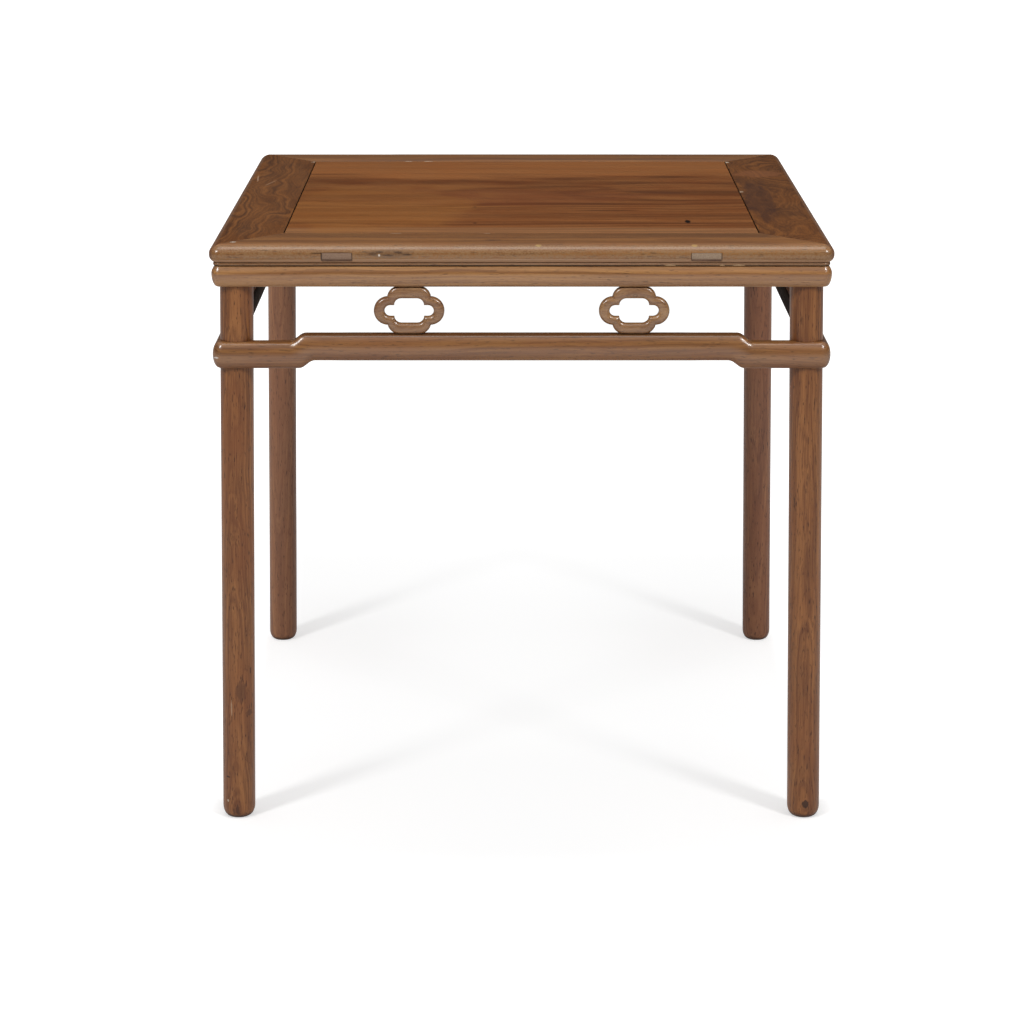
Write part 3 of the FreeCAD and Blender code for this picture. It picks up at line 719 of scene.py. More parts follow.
# Planed round along the fibres: fine upright lines, many pores and a thin coat of wax, with wide bands of
# painted shade where the mouldings and the stretchers meet the legs.
LEG_WOOD = WaxedHardwood(
    "waxed_leg", light="#9c673b", dark="#6d4125", warm="#854f2d", ring=2.0, fibre=(60.0, 1.5),
    broad=(420.0, 16.0), pore_share=0.75, wander=(150.0, 50.0, 3.0), pith=(95.0, -12.0), roughness=0.36,
    specular=0.25, coat=0.3, grime_reach=16.0, grime_open=(0.66, 0.34),
)
# Planed and waxed alike, the same wood painted lighter: painted light that makes the back legs stand out a
# little lighter.
PAINTED_LIGHTER_BACK_LEG_WOOD = replace(
    LEG_WOOD, name="waxed_back_leg", light="#ac754d", dark="#784b32", warm="#925b3b", contrast=(0.33, 0.67)
)
# Faces turned away from hands and light: bare, aged and dull wood, painted nearly black as shade.
SHADED_INNER_WOOD = WaxedHardwood(
    "bare_hidden_face", light="#43352b", dark="#241c17", warm="#33271f", pores=(8.0, 2.6), roughness=0.8,
    specular=0.04, coat=0.0,
)
# Planed and left dry where nobody sees it: brown, dull and even.
INNER_WOOD = WaxedHardwood(
    "dry_inner_wood", light="#6b4f3a", dark="#473226", warm="#583f2e", roughness=0.65, coat=0.0
)

TOP = 875.0
TOP_MARK_HEIGHT = 9.0


def on_top(
    x: float, y: float, length: float, width: float, colour: str, share: float = 1.0, **more: float
) -> Mark:
    """A mark on the table's top, with its middle and size in millimetres."""
    return Mark((x, y, TOP), (length, width, TOP_MARK_HEIGHT), colour, share, **more)


PANEL_MARKS = (
    on_top(248.5, -249, 9, 26, "#150b07", ragged=0.35),
    on_top(133, -150, 96, 9, "#3a2014", 0.6),
    on_top(211, 22, 120, 22, "#4a2a1a", 0.5, turn=-10),
    on_top(290, -80.5, 86, 9, "#4a2a1a", 0.45),
    on_top(-241, -191, 30, 4, "#1c0f09", 0.85),
    on_top(-306, -67, 16, 5, "#1c0f09", 0.8),
    on_top(-70.8, -118, 6, 8, "#2a160d", 0.8),
    on_top(-69, -262, 6, 8, "#2a160d", 0.8),
    on_top(-50, -20, 560, 150, "#6a3a24", 0.35, ragged=0.9),
    on_top(0, 290, 1300, 230, "#ab6e3d", 0.45, ragged=0.9),
    on_top(0, -328, 1400, 60, "#a5805c", 0.25, ragged=0.6),
    on_top(-240, -120, 380, 420, "#94612f", 0.35, ragged=0.9),
)
# Painted shade over the bead, a pale lip above it that is part wear and part painted light over the groove's
# shade, and a painted shadow in the seam below it, on every member.
EDGE_SHADE_LIGHT_AND_WEAR_MARKS = (
    # Painted shade over the bead.
    Mark((0, -444, 846.6), (1400, 26, 5.4), "#4a2a16", 0.18, 0.3),
    # A pale lip: part wear, part painted light over the groove's shade.
    Mark((0, -444, 850.8), (1400, 26, 8.6), "#c8a184", 0.5, 0.4),
    # A painted shadow in the seam between the frame and the moulding.
    Mark((0, -443, 844), (1400, 24, 2.6), "#1d0f06", 0.9, 0.25),
)
FRAME_MARKS = {
    Side.LEFT: (
        on_top(-395, 60, 110, 760, "#a87c58", 0.05, ragged=0.9),
        on_top(-429, 164, 3, 62, "#b89478", 0.6, turn=4, ragged=0.3),
        on_top(-404, 118, 3, 60, "#a58064", 0.6, turn=-14, ragged=0.3),
        on_top(-346, 342, 16, 9, "#c8b39c", 0.7),
    ),
    Side.RIGHT: (
        on_top(348.5, 338, 12, 12, "#d8c6ae", 0.85),
        on_top(350, 28, 8, 14, "#c4ab92", 0.75),
        on_top(372, -40, 50, 380, "#3c231b", 0.55, ragged=0.9),
        on_top(395, 60, 100, 700, "#4a2d1c", 0.08, ragged=0.9),
        on_top(392, 215, 90, 70, "#8a5634", 0.5, ragged=0.8),
    ),
    Side.BACK: (
        on_top(-189, 349, 13, 6, "#cbb7a2", 0.75),
        on_top(-155, 349, 15, 6, "#cbb7a2", 0.75),
    ),
    Side.FRONT: (
        on_top(-414, -421, 9, 7, "#e0d0bd", 0.85),
        on_top(-183, -349.5, 18, 4, "#bfa183", 0.75),
        on_top(-50, -349.5, 10, 4, "#bfa183", 0.75),
        on_top(-41, -405, 30, 9, "#3a2216", 0.6, ragged=0.8),
        Mark((247, -438, 872), (9, 8, 5), "#c2a05c", 0.45),
        Mark((24, -438, 872), (9, 7, 5), "#c9a860", 0.4),
        Mark((-190, -447.5, 862), (74, 12, 12), "#5d4636", 0.4, 0.9),
        Mark((-212, -447.5, 862.5), (12, 12, 5), "#463226", 0.55, 0.9),
        Mark((-203, -447.5, 865), (12, 12, 2.6), "#35231a", 0.65, 0.8),
        Mark((-190, -447.5, 860.5), (16, 12, 2.8), "#35231a", 0.65, 0.8),
        Mark((-176, -447.5, 864.5), (12, 12, 3.4), "#35231a", 0.65, 0.8),
        Mark((-163, -447.5, 861.5), (14, 12, 2.8), "#35231a", 0.65, 0.8),
        Mark((-203.5, -448, 860.5), (3, 12, 3.6), "#e6d8c8", 0.85, 0.3),
        Mark((-291, -447.5, 863.6), (20, 12, 1.6), "#2a1a12", 0.8),
        Mark((-286.2, -447.6, 857.5), (2, 10, 15), "#2a1a12", 0.8, 0.2),
        Mark((-242.2, -447.6, 858), (1.6, 10, 14), "#2a1a12", 0.6, 0.2),
        Mark((-264, -447.6, 864.6), (44, 10, 1.4), "#3a261b", 0.6, 0.4),
        *(Mark((x, -442, 844.8), (length, 14, 2.4), "#c9a67c", 0.7, 0.7)
          for x, length in ((213, 16), (287, 7), (311, 18))),
        *(Mark((x, -447.6, 858), (1.6, 10, 14), "#3a261b", 0.6, 0.2) for x in (242.2, 286.2)),
    ),
}
# Painted shade along the top of each stretcher's hump, which lies under the moulding and the top.
STRETCHER_TOP_SHADE = Mark((0, -438, 743.6), (1400, 60, 8), "#3f2716", 0.5, 0.4)
# A painted highlight at the front left corner, shared by the front and the left stretcher.
STRETCHER_CORNER_HIGHLIGHT = Mark((-445, -446, 710), (16, 14, 3.2), "#efe4da", 0.75)
STRETCHER_HIGHLIGHTS = {Side.FRONT: (STRETCHER_CORNER_HIGHLIGHT,), Side.LEFT: (STRETCHER_CORNER_HIGHLIGHT,)}
LEG_MARKS = {
    # Painted light with a pale haze of reflection over the whole back left leg.
    Corner.BACK_LEFT: (Mark((-419, 419, 400), (120, 120, 1200), "#c09a84", 0.10),),
    # Painted shade with a bluish haze of reflection over the whole back right leg.
    Corner.BACK_RIGHT: (Mark((419, 419, 400), (120, 120, 1200), "#5a4a52", 0.12),),
    Corner.FRONT_RIGHT: (Mark((428, -449, 24), (11, 14, 13), "#2c1912", 0.85, 0.4),),
    Corner.FRONT_LEFT: (
        Mark((-441, -447, 66), (7, 14, 3), "#2c1912", 0.8),
        Mark((-432.6, -446, 175), (2.4, 14, 24), "#bd9f80", 0.5, 0.7),
        Mark((-418, -447, 200), (15, 14, 34), "#452a1e", 0.5, 0.9),
        Mark((-406.2, -440.3, 167), (9, 14, 10), "#452a1e", 0.5, 0.7),
        Mark((-441.6, -445.3, 28), (3, 14, 4), "#cdb9a0", 0.7, 0.4),
        Mark((-427, -450, 14), (6, 14, 18), "#3a2218", 0.6, 0.8),
    ),
}


def bare_inner_faces(piece: Piece, side: Side, seed: int = 60) -> None:
    """Gives the faces that look into the table bare, aged wood, painted nearly black as shade.

    Args:
        piece: A dressed piece of one side.
        side: Its side.
        seed: Number of the front side's bare wood.
    """
    piece.data.materials.append(SHADED_INNER_WOOD.material(side.fibres, seed + side.number))
    inward = turned(side.value) @ Vector((0.0, 1.0, 0.0))
    widest = math.cos(math.radians(41.4))  # how far a bare face may turn away from straight inwards
    for face in piece.data.polygons:
        face.material_index = int(face.normal.dot(inward) > widest)


# ---------- sections and members


@dataclass(frozen=True)
class Point:
    """A point of a member's section: inset from the outer face, and level."""

    inset: float
    level: float


def arc(centre: Span, reach: Span, start: float, end: float, steps: int) -> list[Point]:
    """Section points on an arc or part of an ellipse.

    Args:
        centre: Inset and level of its centre.
        reach: Half width in plan and half height.
        start: First angle in degrees, from the outward direction towards up.
        end: Last angle.
        steps: Number of spans.

    Returns:
        The points in order.
    """
    angles = [math.radians(start + (end - start) * step / steps) for step in range(steps + 1)]
    return [Point(centre[0] - reach[0] * math.cos(a), centre[1] + reach[1] * math.sin(a)) for a in angles]


def dovetail(name: str, middle: float, widths: Span, levels: Span, reach: Span, below: float = 0.0) -> Piece:
    """A dovetailed bar from front to back.

    Args:
        name: Its name.
        middle: Its middle in X.
        widths: Its width at the root and at the head.
        levels: Its root and its head.
        reach: Where it starts and ends in Y.
        below: How far it runs on, at the root's width, below the root.

    Returns:
        The bar.
    """
    root, head = (width / 2 for width in widths)
    low, high = levels
    outline = [(middle - root, low - below), (middle + root, low - below)] if below else []
    outline += [(middle + root, low), (middle + head, high), (middle - head, high), (middle - root, low)]
    return loft(name, [[Vector((x, y, z)) for x, z in outline] for y in reach])


@dataclass
class Member:
    """A bar along the front side with a moulded section, rounded in plan and mitred at both ends."""

    name: str
    half: float
    corner: float
    stations: list[float]
    lift: Callable[[float, float], float] = lambda x, share: 0.0
    arc_steps: int = 8

    def end_place(self, point: Point, step: int) -> Span:
        """Where a section point lies in plan at the right end.

        Args:
            point: The point of the section.
            step: Counts from the start of the rounded corner to the mitre.

        Returns:
            Its X and Y.
        """
        radius = self.corner - point.inset
        centre = self.half - self.corner
        if radius > 0:
            angle = math.radians(45) * step / self.arc_steps
            return centre + radius * math.sin(angle), -(centre + radius * math.cos(angle))
        across = self.half - point.inset
        share = (step + 1) / (self.arc_steps + 1)
        return self.stations[-1] + (across - self.stations[-1]) * share, -across

    def build(self, section: list[Point]) -> Piece:
        """Extrudes the section from one mitre to the other.

        Args:
            section: The closed outline of the section, in order.

        Returns:
            The closed mesh in its front position.
        """
        low = min(point.level for point in section)
        high = max(point.level for point in section)
        plans = [[(x, point.inset - self.half) for point in section] for x in self.stations]
        plans += [[self.end_place(point, step) for point in section] for step in range(self.arc_steps + 1)]
        plans = [[(-x, y) for x, y in plan] for plan in reversed(plans)] + plans
        rings = []
        for plan in plans:
            ring = []
            for (x, y), point in zip(plan, section):
                share = (point.level - low) / (high - low)
                ring.append(Vector((x, y, point.level + self.lift(x, share))))
            rings.append(ring)
        return loft(self.name, rings)


# ---------- the top


@dataclass
class TopFrame:
    """The four mitred members of the top's frame, with bullnose edge, bead and panel groove."""

    upper_round: Span = (19 * MM, 14 * MM)
    lower_round: Span = (10 * MM, 10 * MM)
    bead_height: float = 4.5 * MM
    bead_inset: float = 5.6 * MM
    bead_round: float = 1.5 * MM
    corner: float = 16 * MM
    groove_depth: float = 9 * MM
    groove: Span = (864.85 * MM, 869.65 * MM)
    batten_tenon: Span = (851.5 * MM, 863.5 * MM)
    corner_tenon: Span = (852 * MM, 862 * MM)
    corner_tenon_places: Span = (358 * MM, 392 * MM)
    fit_gap: float = 0.3 * MM
    seam_ease: float = 0.45 * MM
    flat_shares: Span = (0.6, 0.35)
    station_step: float = 42 * MM
    station_count: int = 8
    seed: int = 1

    def outer_profile(self, low: float, high: float) -> list[Point]:
        """The handled edge of the table from its top to its underside.

        Args:
            low: Level of the underside.
            high: Level of the top.

        Returns:
            The points of the edge.
        """
        bulge = low + self.bead_height
        upper, lower, bead = self.upper_round, self.lower_round, self.bead_round
        points = arc((upper[0], high - upper[1]), upper, 90, 0, 12)
        points += arc((lower[0], bulge + lower[1]), lower, 0, -80, 8)
        points += arc((self.bead_inset + bead, bulge - bead), (bead, bead), 70, 0, 3)
        points += arc((self.bead_inset + bead, low + bead), (bead, bead), 0, -90, 3)
        return points

    def section(self, low: Vector, high: Vector) -> list[Point]:
        """The member's section from the seam at the panel round the outer edge and back.

        Args:
            low: The low corner of the front member's box.
            high: The high corner.

        Returns:
            The closed outline.
        """
        width = high.y - low.y
        groove_end = width - self.groove_depth
        points = [Point(width * share, high.z) for share in (1.0, *self.flat_shares)]
        points += self.outer_profile(low.z, high.z)
        points += [Point(width, low.z), Point(width, self.groove[0]), Point(groove_end, self.groove[0])]
        return points + [Point(groove_end, self.groove[1]), Point(width, self.groove[1])]

    def trim_ends(self, bar: Piece, reach: Span, turn: float) -> None:
        """Cuts the ends of a bar of tenons flush with the shape of the table's edge.

        Args:
            bar: The bar, which runs across the table.
            reach: A span along X that holds its width, before the turn.
            turn: Degrees about Z, 0 for a bar that runs from front to back.
        """
        low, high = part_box("frame_front_rail")
        front = [(point.inset + low.y, point.level) for point in self.outer_profile(low.z, high.z)]
        outline = front + [(-y, z) for y, z in reversed(front)]
        shape = loft("edge_shape", [[Vector((x, y, z)) for y, z in outline] for x in reach])
        shape.data.transform(turned(turn))
        combine(bar, shape, "INTERSECT")

    def mortise(self, member: Piece, across: Span, levels: Span) -> None:
        """Cuts a mortise through a member in its front place, with play all round.

        Args:
            member: The member.
            across: Where the tenon lies in X.
            levels: The tenon's underside and top.
        """
        low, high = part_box("frame_front_rail")
        gap = self.fit_gap
        hole = add_box(
            "mortise", (across[0] - gap, low.y - PAST, levels[0] - gap),
            (across[1] + gap, high.y + PAST, levels[1] + gap),
        )
        combine(member, hole, "DIFFERENCE")

    def build(self) -> None:
        """Models the long and the end member, cuts their joints and copies each to its opposite side."""
        low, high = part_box("frame_front_rail")
        stations = [self.station_step * step for step in range(1, self.station_count + 1)]
        end_member = Member("end_member", -low.y, self.corner, stations).build(self.section(low, high))
        ease(end_member, self.seam_ease)
        long_member = copy_placed(end_member, "long_member", turned(0))
        near, far = self.corner_tenon_places
        beyond = PAST - low.y
        tenons = add_box(
            "corner_tenons", (-beyond, -far, self.corner_tenon[0]), (beyond, -near, self.corner_tenon[1])
        )
        self.trim_ends(tenons, (-far - PAST, -near + PAST), 90)
        combine(long_member, tenons, "UNION")
        for across in ((-far, -near), (near, far)):
            self.mortise(end_member, across, self.corner_tenon)
        for batten in ("batten_left", "batten_right"):
            batten_low, batten_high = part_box(batten)
            self.mortise(long_member, (batten_low.x, batten_high.x), self.batten_tenon)
        for side in Side:
            model = long_member if side.fibres is Fibres.LEFT_RIGHT else end_member
            member = copy_placed(model, f"frame_{side.label}_member", turned(side.value))
            smooth(member)
            finish_piece(member, f"frame_{side.label}_rail", self.wood(side))
        for model in (long_member, end_member):
            bpy.data.objects.remove(model)

    def wood(self, side: Side) -> Material:
        """The wood of one member, with its traces of use, painted shade and painted light.

        Args:
            side: The member's side.

        Returns:
            Its material.
        """
        finish = LONG_MEMBER_WOOD if side.fibres is Fibres.LEFT_RIGHT else END_MEMBER_WOOD
        marks = (*(mark.carried(side) for mark in EDGE_SHADE_LIGHT_AND_WEAR_MARKS), *FRAME_MARKS[side])
        return finish.material(side.fibres, self.seed + side.number, marks)


@dataclass
class TopPanel:
    """The floating board: a field flush with the frame, a tongue round it, dovetail housings below."""

    field_half: Span = (346.2 * MM, 347.75 * MM)
    tongue: float = 4.5 * MM
    edge_ease: float = 0.7 * MM
    housing_height: float = 4.15 * MM
    housing_width: Span = (26.3 * MM, 30.3 * MM)
    seed: int = 6

    def build(self) -> None:
        """Raises the field on the tongue board and cuts the housings."""
        low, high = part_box("top_panel")
        shoulder = low.z + self.tongue
        panel = add_box("panel_board", tuple(low), (high.x, high.y, shoulder))
        inset = high.y - self.field_half[1]
        with editing(panel):
            select_where(panel, "faces", lambda corner: corner.z > shoulder - 0.1 * MM)
            bpy.ops.mesh.inset(thickness=inset)
            bpy.ops.transform.resize(
                value=(self.field_half[0] / (high.x - inset), 1.0, 1.0), center_override=(0.0, 0.0, shoulder)
            )
            bpy.ops.mesh.extrude_region_move(TRANSFORM_OT_translate={"value": (0.0, 0.0, high.z - shoulder)})
        with editing(panel, "EDGE"):
            select_where(panel, "edges", lambda corner: corner.z > high.z - 0.1 * MM)
            bpy.ops.mesh.bevel(offset=self.edge_ease, segments=3, affect="EDGES")
        for batten in ("batten_left", "batten_middle", "batten_right"):
            batten_low, batten_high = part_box(batten)
            housing = dovetail(
                "housing", (batten_low.x + batten_high.x) / 2, self.housing_width,
                (low.z, low.z + self.housing_height), (low.y - PAST, high.y + PAST), 1 * MM,
            )
            combine(panel, housing, "DIFFERENCE")
        smooth(panel)
        wood = PANEL_WOOD.material(Fibres.LEFT_RIGHT, self.seed, PANEL_MARKS)
        finish_piece(panel, "top_panel", wood)


@dataclass
class Battens:
    """The outer battens under the panel, whose through tenons end flush in the table's edge."""

    frame: TopFrame
    body_half_length: float = 347.7 * MM
    body: Span = (842 * MM, 865 * MM)
    body_ease: float = 0.8 * MM
    ridge_half_length: float = 346 * MM
    ridge_top: float = 869 * MM
    ridge_width: Span = (26 * MM, 30 * MM)
    overlap: float = 1 * MM
    shoulder: float = 0.1 * MM
    seed: int = 7

    def build(self) -> None:
        """Models the left batten and copies it to the right."""
        low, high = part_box("batten_left")
        tenon_low, tenon_high = self.frame.batten_tenon
        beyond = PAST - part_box("frame_front_rail")[0].y
        batten = add_box(
            "left_batten", (low.x + self.shoulder, -beyond, tenon_low),
            (high.x - self.shoulder, beyond, tenon_high),
        )
        self.frame.trim_ends(batten, (low.x - PAST, high.x + PAST), 0)
        length = self.body_half_length
        bar = add_box("bar", (low.x, -length, self.body[0]), (high.x, length, self.body[1]))
        ease(bar, self.body_ease)
        combine(batten, bar, "UNION")
        middle, length = (low.x + high.x) / 2, self.ridge_half_length
        levels = (self.body[1] - self.overlap, self.ridge_top)
        combine(batten, dovetail("ridge", middle, self.ridge_width, levels, (-length, length)), "UNION")
        smooth(batten)
        right = copy_placed(batten, "right_batten", Matrix.Translation((-2 * middle, 0.0, 0.0)))
        woods = (BATTEN_WOOD, PALE_BATTEN_WOOD)
        for number, (piece, node) in enumerate(((batten, "batten_left"), (right, "batten_right"))):
            material = woods[number].material(Fibres.FRONT_BACK, self.seed + number)
            finish_piece(piece, node, material)


# ---------- mouldings, legs, stretchers and struts


@dataclass
class Mouldings:
    """The strips under the frame: a crowned face that falls away further below than above."""

    corner: float = 13 * MM
    widest: float = 832 * MM
    upper_fall: float = 4.5 * MM
    upper_power: float = 1.8
    upper_steps: int = 9
    lower_fall: float = 8 * MM
    top_ease: Span = (3.0 * MM, 1.0 * MM)
    inner_round: float = 3 * MM
    edge_ease: float = 0.4 * MM
    station_step: float = 36 * MM
    station_count: int = 10
    seed: int = 10

    def section(self, low: Vector, high: Vector) -> list[Point]:
        """From the top's inner edge over the crowned face to the underside.

        Args:
            low: The low corner of the front strip's box.
            high: The high corner.

        Returns:
            The closed outline.
        """
        width = high.y - low.y
        rise = high.z - self.top_ease[1] - self.widest
        points = [Point(width, high.z), Point(self.upper_fall + self.top_ease[0], high.z)]
        for step in range(self.upper_steps):
            share = 1 - step / self.upper_steps
            points.append(Point(self.upper_fall * share ** self.upper_power, self.widest + rise * share))
        fall = (self.lower_fall, self.widest - low.z)
        points += arc((self.lower_fall, self.widest), fall, 0, -90, 10)
        return points + [Point(width - self.inner_round, low.z), Point(width, low.z + self.inner_round)]

    def build(self) -> None:
        """Models the front strip and copies it to the other sides."""
        low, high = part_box("moulding_front")
        stations = [self.station_step * step for step in range(1, self.station_count + 1)]
        strip = Member("moulding_blank", -low.y, self.corner, stations).build(self.section(low, high))
        ease(strip, self.edge_ease)
        strips = carry_round(strip, Side, "moulding_{}_strip", "moulding_{}", self.wood)
        for side, piece in strips.items():
            bare_inner_faces(piece, side)

    def wood(self, side: Side) -> Material:
        """The wood of one strip."""
        return MOULDING_WOOD.material(side.fibres, self.seed + side.number)


@dataclass
class Legs:
    """Round legs, leaning out along both sides, notched where the stretchers lap round them."""

    foot_axis: float = 427.0 * MM
    top_axis: float = 411.4 * MM
    top: float = 813 * MM
    radius: float = 24.15 * MM
    foot_round: float = 9.0 * MM
    foot_round_stretch: float = 1.85
    notch: float = 429.4 * MM
    notch_levels: Span = (693.35 * MM, 731.65 * MM)
    around: Span = (300 * MM, 600 * MM)
    overlength: float = 50 * MM
    sides: int = 72
    seed: int = 20

    def axis(self, level: float) -> Vector:
        """The middle of the front left leg at a level."""
        inset = self.foot_axis + (self.top_axis - self.foot_axis) * level / self.top
        return Vector((-inset, -inset, level))

    def rod(self, name: str, levels: Span, radius: float) -> Piece:
        """A round rod on the leg's axis, cut level at both ends.

        Args:
            name: Its name.
            levels: Its underside and its top.
            radius: In metres.

        Returns:
            The rod.
        """
        low, high = levels
        start, end = self.axis(low - self.overlength), self.axis(high + self.overlength)
        rod = add_rod(name, start, end, radius, self.sides)
        for level, up in ((low, 1.0), (high, -1.0)):
            with editing(rod):
                bpy.ops.mesh.select_all(action="SELECT")
                bpy.ops.mesh.bisect(
                    plane_co=(0.0, 0.0, level), plane_no=(0.0, 0.0, up), use_fill=True, clear_inner=True
                )
        return rod

    def core(self, gap: float) -> Piece:
        """What is left of the front left leg between its notches.

        Args:
            gap: Play that is added all round.

        Returns:
            The core, which cuts the cope of a stretcher.
        """
        low, high = self.notch_levels[0] - 2 * PAST, self.notch_levels[1] + 2 * PAST
        rod = self.rod("leg_core", (low, high), self.radius + gap)
        reach, inside = self.notch + gap, self.around[0]
        box = add_box("inside", (-reach, -reach, low - PAST), (-inside, -inside, high + PAST))
        combine(rod, box, "INTERSECT")
        return rod

    def build(self) -> None:
        """Models the front left leg and copies it to the other corners."""
        leg = self.rod("leg_blank", (0.0, self.top), self.radius)
        with editing(leg, "EDGE"):
            select_where(leg, "edges", lambda corner: corner.z < 0.01 * MM)
            bpy.ops.mesh.bevel(offset=self.foot_round, segments=7, affect="EDGES")
        with editing(leg, "EDGE"):
            select_where(leg, "edges", lambda corner: corner.z < self.foot_round * 1.1)
            stretch = (1.0, 1.0, self.foot_round_stretch)
            bpy.ops.transform.resize(value=stretch, center_override=(0.0, 0.0, 0.0))
        low, high = self.notch_levels
        near, far = self.around
        for edge in ((near, self.notch), (self.notch, near)):
            notch = add_box("notch", (-far, -far, low), (-edge[0], -edge[1], high))
            combine(leg, notch, "DIFFERENCE")
        carry_round(leg, Corner, "{}_leg", "leg_{}", self.wood)

    def wood(self, corner: Corner) -> Material:
        """The wood of one leg, with the pith near its own axis.

        Args:
            corner: The leg's corner.

        Returns:
            Its material.
        """
        middle = turned(corner.value) @ self.axis(self.top / 2)
        # The back legs take the same wood, painted lighter as painted light.
        finish = PAINTED_LIGHTER_BACK_LEG_WOOD if corner in (Corner.BACK_LEFT, Corner.BACK_RIGHT) else LEG_WOOD
        shift = (-middle.y, middle.x)
        return finish.material(Fibres.UPRIGHT, self.seed + corner.number, LEG_MARKS[corner], shift)


@dataclass
class Stretchers:
    """Humpback stretchers with a half round face, coped over the legs and mitred outside them."""

    legs: Legs
    corner: float = 16 * MM
    height: float = 38 * MM
    crown: float = 9 * MM
    inner_round: float = 10 * MM
    rise: float = 11.5 * MM
    upper_bend: float = 331.1 * MM
    lower_bend: float = 317.8 * MM
    bend_run: float = 15 * MM
    bend_ease: float = 4.4 * MM
    edge_ease: float = 0.4 * MM
    cope_gap: float = 0.2 * MM
    station_step: float = 45 * MM
    station_count: int = 6
    bend_start: float = 290 * MM
    bend_step: float = 2.5 * MM
    bend_count: int = 20
    end_stations: Span = (350 * MM, 374 * MM)
    seed: int = 30

    def climb(self, distance: float) -> float:
        """How far the hump has risen.

        Args:
            distance: From the start of its bend towards the middle of the table.

        Returns:
            The rise, which is rounded where the ramp starts and ends.
        """
        run, soft = self.bend_run, self.bend_ease

        def area(length: float) -> float:
            """The ramp summed up from its start, for the mean over a short stretch of it."""
            inside = min(max(length, 0.0), run)
            return inside * inside / (2 * run) + max(length - run, 0.0)

        return self.rise * (area(distance + soft) - area(distance - soft)) / (2 * soft)

    def lift(self, x: float, share: float) -> float:
        """Rise of the hump at a station.

        Args:
            x: The station, from the middle of the table.
            share: How high in the section the point lies, from 0 to 1.

        Returns:
            The rise of the point.
        """
        upper = self.climb(self.upper_bend - abs(x))
        lower = self.climb(self.lower_bend - abs(x))
        return lower + (upper - lower) * share

    def section(self, low: Vector, high: Vector) -> list[Point]:
        """From the top's inner edge over the crowned face to the underside and back inside.

        Args:
            low: The low corner of the front stretcher's box.
            high: The high corner.

        Returns:
            The closed outline.
        """
        width = high.y - low.y
        top = low.z + self.height
        middle, half_height, inner = low.z + self.height / 2, self.height / 2, self.inner_round
        points = [Point((width + self.crown) / 2, top)]
        points += arc((self.crown, middle), (self.crown, half_height), 90, -90, 18)
        points += arc((width - inner, low.z + inner), (-inner, -inner), 90, 0, 4)
        return points + arc((width - inner, top - inner), (-inner, inner), 0, 90, 4)

    def build(self) -> None:
        """Models the front stretcher, copes it over two legs and copies it to the other sides."""
        low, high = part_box("stretcher_front")
        stations = [self.station_step * step for step in range(1, self.station_count + 1)]
        stations += [self.bend_start + self.bend_step * step for step in range(self.bend_count)]
        stations += self.end_stations
        bar = Member("stretcher_blank", -low.y, self.corner, stations, self.lift)
        bar = bar.build(self.section(low, high))
        ease(bar, self.edge_ease)
        left = self.legs.core(self.cope_gap)
        right = copy_placed(left, "right_core", turned(90))
        combine(bar, left, "DIFFERENCE")
        combine(bar, right, "DIFFERENCE")
        bars = carry_round(bar, Side, "{}_humpback_stretcher", "stretcher_{}", self.wood)
        for side, piece in bars.items():
            bare_inner_faces(piece, side)

    def wood(self, side: Side) -> Material:
        """The wood of one stretcher, with painted shade along the top of its hump."""
        marks = (STRETCHER_TOP_SHADE.carried(side), *STRETCHER_HIGHLIGHTS.get(side, ()))
        return STRETCHER_WOOD.material(side.fibres, self.seed + side.number, marks)


def rounded_outline(half_width: float, half_height: float, radius: float, steps: int) -> list[Span]:
    """Points round a rectangle with round corners.

    Args:
        half_width: Middle to its right side.
        half_height: Middle to its top.
        radius: Of the corners.
        steps: Spans in each corner.

    Returns:
        The points, with none doubled where two corners meet.
    """
    points = []
    for quarter, (x, z) in enumerate(((1, 1), (-1, 1), (-1, -1), (1, -1))):
        centre = (x * (half_width - radius), z * (half_height - radius))
        for step in range(steps + 1):
            angle = math.radians(90 * (quarter + step / steps))
            points.append((centre[0] + radius * math.cos(angle), centre[1] + radius * math.sin(angle)))
    return [p for p, q in zip(points, points[-1:] + points[:-1]) if math.dist(p, q) > 0.05 * MM]


